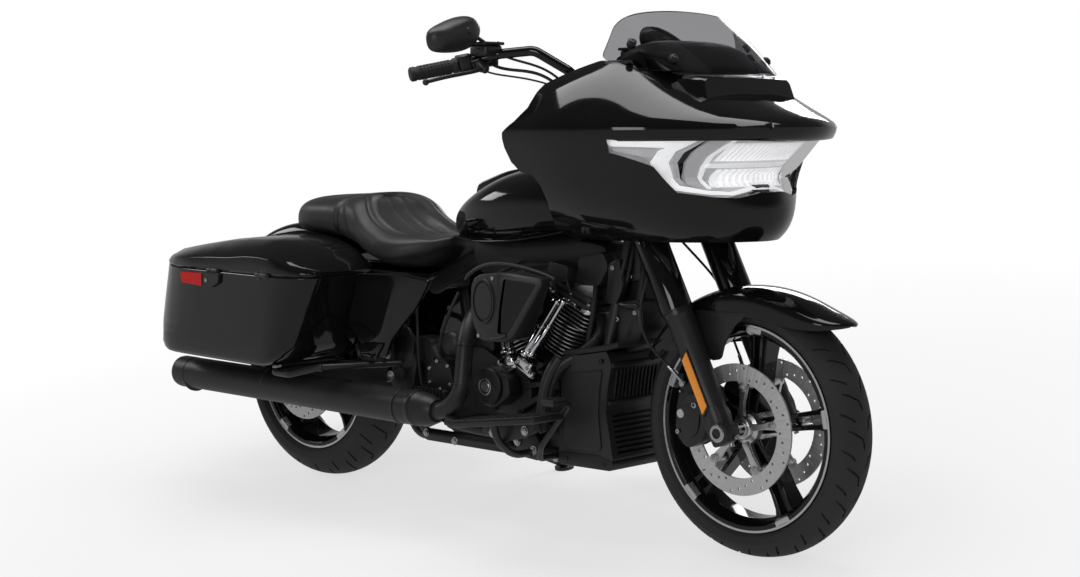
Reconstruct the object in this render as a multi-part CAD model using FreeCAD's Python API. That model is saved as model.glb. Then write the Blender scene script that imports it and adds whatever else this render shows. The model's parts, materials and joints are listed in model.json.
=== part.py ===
import FreeCAD, Part
import math
import os

V = FreeCAD.Vector

# The motorcycle is modelled upright: x forward from the rear axle, y to the rider's left, z up from the ground.
# At the end the whole machine is leaned to its left onto the side stand and set down on the floor.

# Chassis
WHEELBASE = 1625.0
STEERING_RAKE = 26.0
TRAIL = 170.0
FORK_RAKE = 26.9
LEAN = 9.0

# Wheels and tyres
REAR_TYRE_RADIUS = 327.6
REAR_TYRE_WIDTH = 180.0
REAR_CROWN_RADIUS = 100.0
REAR_BEAD_RADIUS = 228.6
REAR_RIM_WIDTH = 144.0
FRONT_TYRE_RADIUS = 319.3
FRONT_TYRE_WIDTH = 130.0
FRONT_CROWN_RADIUS = 75.0
FRONT_BEAD_RADIUS = 241.3
FRONT_RIM_WIDTH = 106.0
RIM_FLANGE_HEIGHT = 12.7
RIM_FLANGE_THICKNESS = 6.0
RIM_DEPTH = 20.0
SPOKE_PAIRS = 5
SPOKE_WIDTH = 13.0
SPOKE_SPREAD = 17.0
SPOKE_HALF_DEPTH = 34.0
HUB_RADIUS = 42.0
FRONT_HUB_HALF = 62.0
REAR_HUB_HALF = 88.0
AXLE_RADIUS = 12.5
RUNNING_FIT = 0.05
SEAT_GAP = 0.3

# Brakes
FRONT_DISC_RADIUS = 160.0
FRONT_DISC_Y = 74.0
REAR_DISC_RADIUS = 150.0
REAR_DISC_Y = 99.0
DISC_THICKNESS = 5.0
DISC_BAND = 42.0
DISC_TABS = 5
DISC_HOLES = 30
DISC_HOLE_RADIUS = 3.4
PAD_GAP = 5.0
BOSS_INSET = 10.0
BOSS_RADIUS = 15.0

# Fork
LEG_SPACING = 251.0
LEG_SETBACK = 5.7
SLIDER_RADIUS = 33.0
SLIDER_LENGTH = 312.0
FORK_TUBE_RADIUS = 24.5
FORK_COVER_RADIUS = 40.0
LOWER_YOKE_FROM = 520.0
LOWER_YOKE_THICKNESS = 36.0
UPPER_YOKE_FROM = 735.0
UPPER_YOKE_THICKNESS = 28.0
STEM_RADIUS = 17.0
NECK_RADIUS = 34.0

# Bars
BAR_RADIUS = 12.7
GRIP_RADIUS = 17.0
GRIP_LENGTH = 120.0
RISER_HEIGHT = 58.0

# Engine
CRANK_X = 955.0
CRANK_Z = 310.0
CYLINDER_LEAN = 22.5
CYLINDER_FOOT = 150.0
FIN_RADIUS = 82.0
BARREL_RADIUS = 60.0
FIN_COUNT = 9
FIN_PITCH = 11.0
FIN_THICKNESS = 3.5
HEAD_HEIGHT = 48.0
ROCKER_HEIGHT = 42.0
CASE_HALF_WIDTH = 105.0

# Bodywork
FAIRING_WALL = 6.0
LAMP_DEPTH = 36.0
SCREEN_THICKNESS = 4.5
BAG_INNER_Y = 166.0
BAG_WALL = 5.0
BAG_BODY_TOP = 640.0
LID_GAP = 0.3
REAR_FENDER_RADIUS = 440.0
REAR_FENDER_HALF = 112.0
FENDER_WALL = 4.0
FENDER_LUG_HEIGHT = 290.0
MUFFLER_RADIUS = 47.0
MUFFLER_Y = 270.0
MUFFLER_Z = 307.0
PIPE_INSET = 6.0
PIPE_DROP = 10.0
HEADER_RADIUS = 24.0

# Frame tubes
RAIL_RADIUS = 16.0
RAIL_Y = 125.0
RAIL_Z = 200.0
BACKBONE_RADIUS = 28.0
STRUT_RADIUS = 12.0
STRUT_Y = 130.0
STRUT_Z = 600.0
PIVOT_X = 495.0
PIVOT_Z = 360.0
ARM_Y = 137.0

# Side stand
STAND_PIVOT = (620.0, 132.0, 150.0)
STAND_AXIS_TILT = 18.0
STAND_FOOT_Y = 330.0
STAND_FOOT_FORWARD = 45.0
STAND_PIN_RADIUS = 8.0
STAND_LEG_RADIUS = 11.0
STAND_FOOT_RADIUS = 28.0

LEAN_RAD = math.radians(LEAN)
RAKE_RAD = math.radians(STEERING_RAKE)
FORK_RAD = math.radians(FORK_RAKE)
REAR_AXLE_Z = REAR_TYRE_RADIUS
FRONT_AXLE_Z = FRONT_TYRE_RADIUS + (FRONT_CROWN_RADIUS - REAR_CROWN_RADIUS) * (1 / math.cos(LEAN_RAD) - 1)
FLOOR_DROP = REAR_CROWN_RADIUS * (1 - math.cos(LEAN_RAD))
LEG_Y = LEG_SPACING / 2
LEG_FOOT_X = WHEELBASE - LEG_SETBACK


# General helpers
def from_axle(points):
    """Points whose x is written from the front axle, with x from the rear axle."""
    return [(WHEELBASE + point[0],) + tuple(point[1:]) for point in points]


def box(x0, x1, y0, y1, z0, z1):
    return Part.makeBox(x1 - x0, y1 - y0, z1 - z0, V(x0, y0, z0))


def rod(start, end, radius):
    a = V(*start)
    b = V(*end)
    return Part.makeCylinder(radius, (b - a).Length, a, b - a)


def cross_rod(x, z, y0, y1, radius):
    return rod((x, y0, z), (x, y1, z), radius)


def mirrored(shape):
    return shape.mirror(V(0, 0, 0), V(0, 1, 0))


def both_sides(shape):
    return Part.makeCompound([shape, mirrored(shape)])


def fused(shapes):
    first = shapes[0]
    return first.multiFuse(shapes[1:])


def biggest(shape):
    return max(shape.Solids, key=lambda solid: solid.Volume)


def side_points(points, y):
    return [V(x, y, z) for x, z in points]


def plan_points(points, z):
    return [V(x, y, z) for x, y in points]


def corner_arc(before, corner, after, radius):
    a = before - corner
    b = after - corner
    half = a.getAngle(b) / 2
    if half > math.radians(89.9):
        return corner, None, corner
    reach = min(radius / math.tan(half), 0.45 * a.Length, 0.45 * b.Length)
    a.normalize()
    b.normalize()
    middle = a + b
    middle.normalize()
    bend = reach * math.tan(half)
    depth = bend / math.sin(half) - bend
    return corner + a * reach, corner + middle * depth, corner + b * reach


def rounded(points, radius, closed=True):
    """A wire through the points whose corners are arcs."""
    count = len(points)
    corners = []
    for i in range(count):
        if closed or 0 < i < count - 1:
            corners.append(corner_arc(points[i - 1], points[i], points[(i + 1) % count], radius))
        else:
            corners.append((points[i], None, points[i]))
    edges = []
    for i in range(count):
        start, middle, end = corners[i]
        if middle is not None:
            edges.append(Part.Arc(start, middle, end).toShape())
        if closed or i < count - 1:
            edges.append(Part.LineSegment(end, corners[(i + 1) % count][0]).toShape())
    return Part.Wire(edges)


def side_prism(points, radius, y0, y1):
    face = Part.Face(rounded(side_points(points, y0), radius))
    return face.extrude(V(0, y1 - y0, 0))


def plan_prism(points, radius, z0, z1):
    face = Part.Face(rounded(plan_points(points, z0), radius))
    return face.extrude(V(0, 0, z1 - z0))


def front_prism(points, x0, x1):
    wire = Part.makePolygon([V(x0, y, z) for y, z in points + points[:1]])
    return Part.Face(wire).extrude(V(x1 - x0, 0, 0))


def pipe(points, radius, bend):
    """A round tube along straight runs joined by arcs."""
    knots = [V(*point) for point in points]
    path = rounded(knots, bend, closed=False)
    circle = Part.makeCircle(radius, knots[0], knots[1] - knots[0])
    return path.makePipeShell([Part.Wire(circle)], True, False)


def turned(profile, x, z, angle=360.0):
    """A ring about the cross axis through x, z from points of (y, radius)."""
    wire = Part.makePolygon([V(x, y, z + r) for y, r in profile + profile[:1]])
    return Part.Face(wire).revolve(V(x, 0, z), V(0, 1, 0), angle)


def spun(profile, start, end):
    """A turned solid from points of (radius, distance) along the line from start to end."""
    wire = Part.makePolygon([V(r, 0, z) for r, z in profile + profile[:1]])
    solid = Part.Face(wire).revolve(V(0, 0, 0), V(0, 0, 1), 360)
    solid.Placement = FreeCAD.Placement(start,
                                        FreeCAD.Rotation(V(0, 0, 1), end - start)).multiply(solid.Placement)
    return solid


def superellipse(x, y_centre, half_width, z_low, z_high, power, count=16):
    """A closed smooth section across the machine at x."""
    middle = (z_low + z_high) / 2
    half_height = (z_high - z_low) / 2
    points = []
    for i in range(count):
        t = 2 * math.pi * i / count
        c = math.cos(t)
        s = math.sin(t)
        y = y_centre + half_width * math.copysign(abs(c) ** power, c)
        z = middle + half_height * math.copysign(abs(s) ** power, s)
        points.append(V(x, y, z))
    curve = Part.BSplineCurve()
    curve.interpolate(points, PeriodicFlag=True)
    return Part.Wire(curve.toShape())


def loft(wires, ruled=False):
    return Part.makeLoft(wires, True, ruled, False)


# Wheels
def tyre(x, z, radius, width, crown, bead, rim_width):
    half = width / 2
    rim_half = rim_width / 2 - RIM_FLANGE_THICKNESS
    shoulder = radius - crown + math.sqrt(crown ** 2 - half ** 2)
    lip = bead + RIM_FLANGE_HEIGHT
    bulge = (lip + shoulder) / 2
    points = [(-rim_half, bead), (-rim_half, lip), (-half + 4, bulge), (-half, shoulder)]
    left = [V(x, y, z + r) for y, r in points]
    right = [V(x, -y, z + r) for y, r in reversed(points)]
    tread = Part.Arc(left[-1], V(x, 0, z + radius), right[0]).toShape()
    edges = [Part.LineSegment(a, b).toShape() for a, b in zip(left, left[1:])]
    edges.append(tread)
    edges += [Part.LineSegment(a, b).toShape() for a, b in zip(right, right[1:])]
    edges.append(Part.LineSegment(right[-1], left[0]).toShape())
    return Part.Face(Part.Wire(edges)).revolve(V(x, 0, z), V(0, 1, 0), 360)


def rim(x, z, bead, width, hub_half):
    half = width / 2
    seat = half - RIM_FLANGE_THICKNESS
    lip = bead + RIM_FLANGE_HEIGHT
    inner = bead - RIM_DEPTH
    profile = [(-half, lip), (-seat, lip), (-seat, bead), (seat, bead), (seat, lip), (half, lip)]
    profile += [(half, bead - 4), (half - 12, bead - 12), (half - 26, inner)]
    profile += [(-half + 26, inner), (-half + 12, bead - 12), (-half, bead - 4)]
    pieces = [turned(profile, x, z), cross_rod(x, z, -hub_half, hub_half, HUB_RADIUS)]
    for pair_index in range(SPOKE_PAIRS):
        for side in (-1, 1):
            offset = side * SPOKE_SPREAD
            bar = box(x + offset - SPOKE_WIDTH / 2, x + offset + SPOKE_WIDTH / 2,
                      -SPOKE_HALF_DEPTH, SPOKE_HALF_DEPTH, z + HUB_RADIUS / 2, z + inner + 2)
            bar.rotate(V(x, 0, z), V(0, 1, 0), 360.0 * pair_index / SPOKE_PAIRS)
            pieces.append(bar)
    bore = cross_rod(x, z, -hub_half - 1, hub_half + 1, AXLE_RADIUS + RUNNING_FIT)
    return fused(pieces).cut(bore)


def brake_disc(x, z, radius, y, spoke_face):
    """A drilled disc on the right side, carried by bosses on the spokes."""
    y0 = -y - DISC_THICKNESS / 2
    inner = radius - DISC_BAND
    centre = V(x, y0, z)
    side = V(0, 1, 0)
    wires = [Part.Wire(Part.makeCircle(radius, centre, side)),
             Part.Wire(Part.makeCircle(inner, centre, side))]
    for i in range(DISC_HOLES):
        angle = 2 * math.pi * i / DISC_HOLES
        reach = radius - DISC_BAND * (0.3 + 0.2 * (i % 3))
        spot = centre + V(reach * math.cos(angle), 0, reach * math.sin(angle))
        wires.append(Part.Wire(Part.makeCircle(DISC_HOLE_RADIUS, spot, side)))
    band = Part.Face(wires[0])
    for wire in wires[1:]:
        band = band.cut(Part.Face(wire))
    pieces = [band.extrude(V(0, DISC_THICKNESS, 0))]
    for i in range(DISC_TABS):
        reach = inner - BOSS_INSET
        tab = box(x - 12, x + 12, y0, y0 + DISC_THICKNESS, z + reach - 4, z + inner + 6)
        boss = cross_rod(x, z + reach, y0, -spoke_face, BOSS_RADIUS)
        for piece in (tab, boss):
            piece.rotate(V(x, 0, z), V(0, 1, 0), 360.0 * i / DISC_TABS)
            pieces.append(piece)
    return fused(pieces)


def boss_reach(radius):
    """How far from the axle the disc's bosses reach."""
    return radius - DISC_BAND - BOSS_INSET + BOSS_RADIUS


def front_brake_discs():
    return both_sides(brake_disc(WHEELBASE, FRONT_AXLE_Z, FRONT_DISC_RADIUS, FRONT_DISC_Y, SPOKE_HALF_DEPTH))


def rear_brake_disc():
    return brake_disc(0, REAR_AXLE_Z, REAR_DISC_RADIUS, REAR_DISC_Y, SPOKE_HALF_DEPTH)


PULLEY_RADIUS = 112.0
PULLEY_Y0 = 91.0
PULLEY_Y1 = 113.0
BELT_WIDTH = 18.0
BELT_THICKNESS = 6.0
SPROCKET_RADIUS = 44.0
SPROCKET_X = 600.0
SPROCKET_Z = 345.0


def rear_pulley():
    wheel = cross_rod(0, REAR_AXLE_Z, PULLEY_Y0, PULLEY_Y1, PULLEY_RADIUS)
    wheel = wheel.cut(cross_rod(0, REAR_AXLE_Z, PULLEY_Y0 + 6, PULLEY_Y1 + 1, PULLEY_RADIUS - 14))
    sleeve = cross_rod(0, REAR_AXLE_Z, REAR_HUB_HALF, PULLEY_Y1, HUB_RADIUS)
    bore = cross_rod(0, REAR_AXLE_Z, REAR_HUB_HALF - 1, PULLEY_Y1 + 1, AXLE_RADIUS + RUNNING_FIT)
    return fused([wheel, sleeve]).cut(bore)


def drive_belt():
    """A loop round the rear pulley and the gearbox sprocket."""
    inner_rear = PULLEY_RADIUS + SEAT_GAP
    inner_front = SPROCKET_RADIUS
    y = (PULLEY_Y0 + PULLEY_Y1) / 2 - BELT_WIDTH / 2
    outer = belt_outline(inner_rear + BELT_THICKNESS, inner_front + BELT_THICKNESS, y)
    inner = belt_outline(inner_rear, inner_front, y)
    return outer.cut(inner)


def belt_outline(rear_radius, front_radius, y):
    dx = SPROCKET_X
    dz = SPROCKET_Z - REAR_AXLE_Z
    span = math.hypot(dx, dz)
    heading = math.atan2(dz, dx)
    swing = math.acos((rear_radius - front_radius) / span)
    corners = []
    for cx, cz, radius in ((0, REAR_AXLE_Z, rear_radius), (SPROCKET_X, SPROCKET_Z, front_radius)):
        for sign in (1, -1):
            angle = heading + sign * swing
            corners.append(V(cx + radius * math.cos(angle), y, cz + radius * math.sin(angle)))
    rear_back = V(-rear_radius * math.cos(heading), y, REAR_AXLE_Z - rear_radius * math.sin(heading))
    front_tip = V(SPROCKET_X + front_radius * math.cos(heading), y,
                  SPROCKET_Z + front_radius * math.sin(heading))
    edges = [Part.LineSegment(corners[0], corners[2]).toShape(),
             Part.Arc(corners[2], front_tip, corners[3]).toShape(),
             Part.LineSegment(corners[3], corners[1]).toShape(),
             Part.Arc(corners[1], rear_back, corners[0]).toShape()]
    return Part.Face(Part.Wire(edges)).extrude(V(0, BELT_WIDTH, 0))


# Fork and steering
def on_fork(shape):
    """Takes a shape from fork coordinates, z up the legs from the axle, to the machine."""
    placed = shape.copy()
    placed.rotate(V(0, 0, 0), V(0, 1, 0), -FORK_RAKE)
    placed.translate(V(LEG_FOOT_X, 0, FRONT_AXLE_Z))
    return placed


def steering_point(distance):
    ground = WHEELBASE + TRAIL
    return (ground - distance * math.sin(RAKE_RAD), 0, distance * math.cos(RAKE_RAD))


def steering_distance(leg_distance):
    """Distance up the steering axis to a plane square to the legs at a distance up them."""
    lead = WHEELBASE + TRAIL - LEG_FOOT_X
    reach = leg_distance + lead * math.sin(FORK_RAD) + FRONT_AXLE_Z * math.cos(FORK_RAD)
    return reach / math.cos(RAKE_RAD - FORK_RAD)


def leg_rod(from_distance, to_distance, radius):
    return on_fork(rod((0, -LEG_Y, from_distance), (0, -LEG_Y, to_distance), radius))


def front_axle_rod(extra=0.0):
    return cross_rod(WHEELBASE, FRONT_AXLE_Z, -LEG_Y - 26, LEG_Y + 26, AXLE_RADIUS + extra)


def front_axle():
    spacer = cross_rod(WHEELBASE, FRONT_AXLE_Z, -LEG_Y + SLIDER_RADIUS, -FRONT_HUB_HALF - 2, AXLE_RADIUS + 6)
    return fused([front_axle_rod(), spacer, mirrored(spacer)])


def slider():
    tube = leg_rod(-26, SLIDER_LENGTH, SLIDER_RADIUS)
    clamp = cross_rod(WHEELBASE, FRONT_AXLE_Z, -LEG_Y - 24, -LEG_Y + SLIDER_RADIUS, 29)
    return fused([tube, clamp]).cut(front_axle_rod())


def fork_sliders():
    return both_sides(slider())


def yoke(start, thickness):
    grip = FORK_TUBE_RADIUS + 12
    outline = [(-grip, -LEG_Y - grip), (grip, -LEG_Y - grip), (66, -60), (66, 60), (grip, LEG_Y + grip)]
    outline += [(-grip, LEG_Y + grip), (-44, 60), (-44, -60)]
    return on_fork(plan_prism(outline, 26, start, start + thickness))


def fork_yokes():
    pieces = [yoke(LOWER_YOKE_FROM, LOWER_YOKE_THICKNESS), yoke(UPPER_YOKE_FROM, UPPER_YOKE_THICKNESS)]
    low = steering_point(steering_distance(LOWER_YOKE_FROM + LOWER_YOKE_THICKNESS / 2))
    high = steering_point(steering_distance(UPPER_YOKE_FROM + UPPER_YOKE_THICKNESS))
    pieces.append(rod(low, high, STEM_RADIUS))
    tube = leg_rod(SLIDER_LENGTH, UPPER_YOKE_FROM + UPPER_YOKE_THICKNESS + 8, FORK_TUBE_RADIUS)
    cover = leg_rod(SLIDER_LENGTH, LOWER_YOKE_FROM, FORK_COVER_RADIUS)
    for piece in (tube, cover):
        pieces += [piece, mirrored(piece)]
    return fused(pieces)


# Angle up from the front, outer radius, half width and skirt depth of the fender's sections
FRONT_FENDER_SECTIONS = [(39, 394, 34, 12), (46, 376, 58, 28), (56, 358, 74, 48), (68, 350, 81, 62),
                         (84, 346, 83, 68),
                         (102, 345, 83, 70), (120, 345, 83, 68), (137, 345, 81, 58), (150, 345, 76, 42)]


def fender_section(angle, radius, half, skirt):
    wall = FENDER_WALL
    outer = [(-half, radius - skirt), (-half, radius - 0.3 * half), (-0.72 * half, radius - 0.09 * half),
             (0, radius)]
    inner = [(-half + wall, radius - skirt), (-half + wall, radius - 0.3 * half - 1),
             (-0.7 * half, radius - 0.09 * half - wall), (0, radius - wall)]
    ring = outer + [(-y, r) for y, r in reversed(outer[:-1])]
    back = [(-y, r) for y, r in inner[:-1]] + [inner[-1]] + list(reversed(inner[:-1]))
    c = math.cos(math.radians(angle))
    s = math.sin(math.radians(angle))
    points = [V(WHEELBASE + r * c, y, FRONT_AXLE_Z + r * s) for y, r in ring + back]
    return Part.makePolygon(points + points[:1])


def front_fender():
    shell = loft([fender_section(*section) for section in FRONT_FENDER_SECTIONS], ruled=True)
    lug = on_fork(rod((4, -LEG_Y, FENDER_LUG_HEIGHT), (4, -80, FENDER_LUG_HEIGHT), 12))
    lug = lug.cut(slider()).cut(leg_rod(SLIDER_LENGTH, LOWER_YOKE_FROM, FORK_COVER_RADIUS + SEAT_GAP))
    return fused([shell, lug, mirrored(lug)])


CALIPER_SLOT = DISC_THICKNESS + 2 * PAD_GAP


def front_caliper():
    """Behind the right leg, over the disc and bolted to the slider."""
    outline = from_axle([(-163, 300), (-125, 262), (-73, 290), (-59, 350), (-73, 425), (-125, 432),
                         (-157, 380)])
    body = side_prism(outline, 14, -116, -52)
    slot = cross_rod(WHEELBASE, FRONT_AXLE_Z, -FRONT_DISC_Y - CALIPER_SLOT / 2,
                     -FRONT_DISC_Y + CALIPER_SLOT / 2,
                     FRONT_DISC_RADIUS + PAD_GAP)
    lug = box(WHEELBASE - 85, WHEELBASE - 25, -112, -96, 380, 412)
    lug = fused([lug, box(WHEELBASE - 80, WHEELBASE - 13, -112, -96, 318, 346)])
    room = cross_rod(WHEELBASE, FRONT_AXLE_Z, -FRONT_DISC_Y, -40, boss_reach(FRONT_DISC_RADIUS) + PAD_GAP)
    shape = fused([body, lug]).cut(slot).cut(room)
    shape = shape.cut(slider())
    return biggest(shape)


def brake_line():
    """A hose held on the leg from the lower yoke to the caliper."""
    top = on_fork(Part.Vertex(V(-FORK_COVER_RADIUS - 6, -LEG_Y + 12, LOWER_YOKE_FROM - 1))).Point
    knee = on_fork(Part.Vertex(V(-FORK_COVER_RADIUS - 8, -LEG_Y + 12, SLIDER_LENGTH))).Point
    low = (WHEELBASE - 120, -LEG_Y + 18, 470)
    end = (WHEELBASE - 120, -100, 425)
    return pipe([tuple(top), tuple(knee), low, end], 4, 30)


def front_brakes():
    caliper = front_caliper()
    line = brake_line().cut(caliper)
    return both_sides(fused([caliper, biggest(line)]))


HANDLEBAR_POINTS = from_axle([(-759, -428, 1180), (-694, -312, 1206), (-615, -262, 1230), (-529, -226, 1237),
                    (-460, -172, 1185), (-397, -92, 1080), (-369, -60, 1048)])


def handlebar():
    right = HANDLEBAR_POINTS
    left = [(x, -y, z) for x, y, z in reversed(right)]
    bar = pipe(right + left, BAR_RADIUS, 45)
    pieces = [bar]
    for y in (-48, 48):
        foot = UPPER_YOKE_FROM + UPPER_YOKE_THICKNESS
        riser = on_fork(rod((-2, y, foot), (-2, y, foot + RISER_HEIGHT), 19))
        pieces.append(riser)
    return fused(pieces)


def grip_rod(radius, start, end):
    a = V(*HANDLEBAR_POINTS[0])
    b = V(*HANDLEBAR_POINTS[1])
    along = (b - a).normalize()
    p = a + along * start
    q = a + along * end
    return Part.makeCylinder(radius, (q - p).Length, p, q - p)


LEVER_PIVOT = (WHEELBASE - 640, -290, 1196)


def hand_control():
    grip = grip_rod(GRIP_RADIUS, -8, GRIP_LENGTH - 4)
    x, y, z = LEVER_PIVOT
    switch = box(x - 59, x - 7, y - 32, y + 12, z - 8, z + 42)
    reservoir = box(x - 35, x + 27, y - 22, y + 38, z + 30, z + 66)
    lever = pipe([(x, y, z), (x - 10, y - 40, z - 10), (x - 60, y - 142, z - 36)], 6, 20)
    pivot = rod((x, y, z - 6), (x, y, z + 34), 12)
    bar = pipe(HANDLEBAR_POINTS, BAR_RADIUS, 45)
    shape = fused([grip, switch, reservoir, lever, pivot])
    return biggest(shape.cut(bar))


def hand_controls():
    return both_sides(hand_control())


MIRROR_CENTRE = (WHEELBASE - 635, -392, 1276)


def mirror():
    x, y, z = MIRROR_CENTRE
    sections = []
    for dx, grow in ((-20, 0.96), (-8, 1.0), (8, 0.86), (20, 0.5)):
        sections.append(superellipse(x + dx, y, 86 * grow, z - 48 * grow, z + 48 * grow, 0.85))
    shell = loft(sections)
    stem = pipe([(x, y + 110, z - 26), (x, y + 106, z + 4), (x + 2, y + 32, z + 6)], 7, 14)
    return biggest(fused([shell, stem]).cut(hand_control()))


def mirrors():
    return both_sides(mirror())


# Frame and running gear
def frame():
    pieces = []
    neck_low = steering_distance(LOWER_YOKE_FROM + LOWER_YOKE_THICKNESS) + 3
    neck_high = steering_distance(UPPER_YOKE_FROM) - 3
    neck = rod(steering_point(neck_low), steering_point(neck_high), NECK_RADIUS)
    bore = rod(steering_point(neck_low - 5), steering_point(neck_high + 5), STEM_RADIUS + RUNNING_FIT)
    backbone = pipe([(WHEELBASE - 275, 0, 890), (1150, 0, 800), (760, 0, 735), (560, 0, 640), (470, 0, 600)],
                    BACKBONE_RADIUS, 120)
    loop = pipe([(WHEELBASE - 285, -16, 884), (WHEELBASE - 369, -34, 800), (WHEELBASE - 387, -60, 650),
                 (1205, -92, 420), (1176, -RAIL_Y, 235), (1120, -RAIL_Y, RAIL_Z), (530, -RAIL_Y, RAIL_Z),
                 (505, -STRUT_Y, 300), (470, -STRUT_Y, 500),
                 (450, -STRUT_Y, STRUT_Z), (380, -STRUT_Y, STRUT_Z), (-330, -STRUT_Y, STRUT_Z)], RAIL_RADIUS,
                 50)
    seat_cross = cross_rod(470, STRUT_Z, -STRUT_Y, STRUT_Y, STRUT_RADIUS + 2)
    front_cross = cross_rod(WHEELBASE - 393, 610, -66, 66, STRUT_RADIUS)
    low_cross = cross_rod(1110, RAIL_Z, -RAIL_Y, RAIL_Y, RAIL_RADIUS - 2)
    pivot_plate = side_prism([(462, 322), (540, 300), (560, 400), (520, 470), (462, 470)], 15, -150, -116)
    nose_bracket = box(WHEELBASE - 250, WHEELBASE + 15, -26, 26, 872, 906)
    pieces += [neck, backbone, loop, mirrored(loop), seat_cross, front_cross, low_cross, nose_bracket]
    pieces += [pivot_plate, mirrored(pivot_plate)]
    for x in (-250, 250):
        peg = cross_rod(x, STRUT_Z, -STRUT_Y, -REAR_FENDER_HALF, 9)
        pieces += [peg, mirrored(peg)]
    for x in (-200, 200):
        peg = cross_rod(x, STRUT_Z, -BAG_INNER_Y, -STRUT_Y, 11)
        pieces += [peg, mirrored(peg)]
    shape = fused(pieces + [stand_bracket()])
    return shape.cut(bore).cut(pivot_bore()).cut(stand_pin_rod(RUNNING_FIT))


def pivot_bore():
    return cross_rod(PIVOT_X, PIVOT_Z, -170, 170, 20)


def swingarm():
    pivot = cross_rod(PIVOT_X, PIVOT_Z, -156, 156, 20)
    tube = cross_rod(PIVOT_X, PIVOT_Z, -112, 112, 34)
    arm_outline = [(-46, 300), (-46, 356), (60, 372), (436, 388), (436, 332), (60, 298)]
    arm = side_prism(arm_outline, 12, -ARM_Y - 11, -ARM_Y + 11)
    bridge = box(395, 432, -ARM_Y, ARM_Y, 338, 382)
    link = box(395, 500, -112, -90, 338, 382)
    caliper = side_prism([(-150, 330), (-110, 330), (-60, 410), (-70, 450), (-120, 440), (-160, 390)], 10,
                         -122, -80)
    slot = cross_rod(0, REAR_AXLE_Z, -REAR_DISC_Y - CALIPER_SLOT / 2, -REAR_DISC_Y + CALIPER_SLOT / 2,
                     REAR_DISC_RADIUS + PAD_GAP)
    room = cross_rod(0, REAR_AXLE_Z, -REAR_DISC_Y, -60, boss_reach(REAR_DISC_RADIUS) + PAD_GAP)
    caliper = caliper.cut(slot).cut(room)
    bracket = side_prism([(-130, 345), (-40, 345), (-20, 365), (-100, 420)], 8, -128, -114)
    shape = fused([pivot, tube, arm, mirrored(arm), bridge, link, mirrored(link), caliper, bracket])
    return biggest(shape.cut(rear_axle()))


def rear_axle():
    return cross_rod(0, REAR_AXLE_Z, -ARM_Y - 24, ARM_Y + 24, AXLE_RADIUS)


def rear_shock():
    low = (170, -ARM_Y, 410)
    high = (232, -ARM_Y, STRUT_Z - 34)
    body = rod(low, high, 19)
    foot = rod((150, -ARM_Y, 378), low, 10)
    top = rod(high, (240, -ARM_Y, STRUT_Z), 9)
    return fused([body, foot, top])


# Side stand
def stand_axis():
    tilt = math.radians(STAND_AXIS_TILT)
    return V(0, math.sin(tilt), math.cos(tilt))


def stand_foot_point():
    """The middle of the foot's sole, on the floor that the leaned tyres touch."""
    y = STAND_FOOT_Y
    z = (y * math.sin(LEAN_RAD) - FLOOR_DROP) / math.cos(LEAN_RAD)
    return V(STAND_PIVOT[0] + STAND_FOOT_FORWARD, y, z)


def stand_pin_rod(extra=0.0):
    centre = V(*STAND_PIVOT)
    axis = stand_axis()
    return Part.makeCylinder(STAND_PIN_RADIUS + extra, 64, centre - axis * 32, axis)


def stand_bracket():
    x, y, z = STAND_PIVOT
    centre = V(x, y, z)
    axis = stand_axis()
    fork = Part.makeCylinder(17, 22, centre + axis * 13, axis)
    arm = box(x - 17, x + 17, RAIL_Y, y + 8, z + 18, RAIL_Z)
    return fused([fork, arm])


def side_stand():
    x, y, z = STAND_PIVOT
    centre = V(x, y, z)
    axis = stand_axis()
    eye = Part.makeCylinder(18, 24, centre - axis * 12.5, axis)
    pin = stand_pin_rod()
    sole = stand_foot_point()
    up = V(0, -math.sin(LEAN_RAD), math.cos(LEAN_RAD))
    pad = Part.makeCylinder(STAND_FOOT_RADIUS, 8, sole, up)
    ankle = sole + up * 14
    leg = Part.makeCylinder(STAND_LEG_RADIUS, (ankle - centre).Length, centre, ankle - centre)
    knob = Part.makeSphere(STAND_LEG_RADIUS, ankle)
    return fused([eye, pin, leg, knob, pad])


# Engine
def crankcase():
    outline = [(588, 250), (640, 218), (860, 218), (930, 198), (1010, 212), (1070, 290), (1060, 380),
               (1010, 432),
               (955, 468), (900, 432), (850, 420), (780, 452), (640, 452), (588, 400)]
    case = side_prism(outline, 30, -CASE_HALF_WIDTH, CASE_HALF_WIDTH - 12)
    sprocket_room = cross_rod(SPROCKET_X, SPROCKET_Z, PULLEY_Y0 - 8, CASE_HALF_WIDTH + 30,
                              SPROCKET_RADIUS + 14)
    shaft = cross_rod(SPROCKET_X, SPROCKET_Z, 80, PULLEY_Y1 - 2, SPROCKET_RADIUS - 0.1)
    for side in (-1, 1):
        pocket = cylinder_block(side, CYLINDER_FOOT, CYLINDER_FOOT + 400, FIN_RADIUS + 8)
        case = case.cut(pocket)
    return biggest(fused([case.cut(sprocket_room), shaft]))


def cylinder_frame(shape, side):
    """Takes a shape with z up the cylinder from the crank to the leaned cylinder."""
    placed = shape.copy()
    placed.rotate(V(0, 0, 0), V(0, 1, 0), side * CYLINDER_LEAN)
    placed.translate(V(CRANK_X, 0, CRANK_Z))
    return placed


def cylinder_block(side, low, high, radius):
    return cylinder_frame(rod((0, 0, low), (0, 0, high), radius), side)


def comb_profile():
    points = [(0, CYLINDER_FOOT)]
    for i in range(FIN_COUNT):
        low = CYLINDER_FOOT + 8 + i * FIN_PITCH
        points += [(BARREL_RADIUS, low), (FIN_RADIUS, low), (FIN_RADIUS, low + FIN_THICKNESS)]
        points.append((BARREL_RADIUS, low + FIN_THICKNESS))
    top = CYLINDER_FOOT + 8 + FIN_COUNT * FIN_PITCH
    points.insert(1, (BARREL_RADIUS, CYLINDER_FOOT))
    points += [(BARREL_RADIUS, top), (0, top)]
    return points, top


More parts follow.
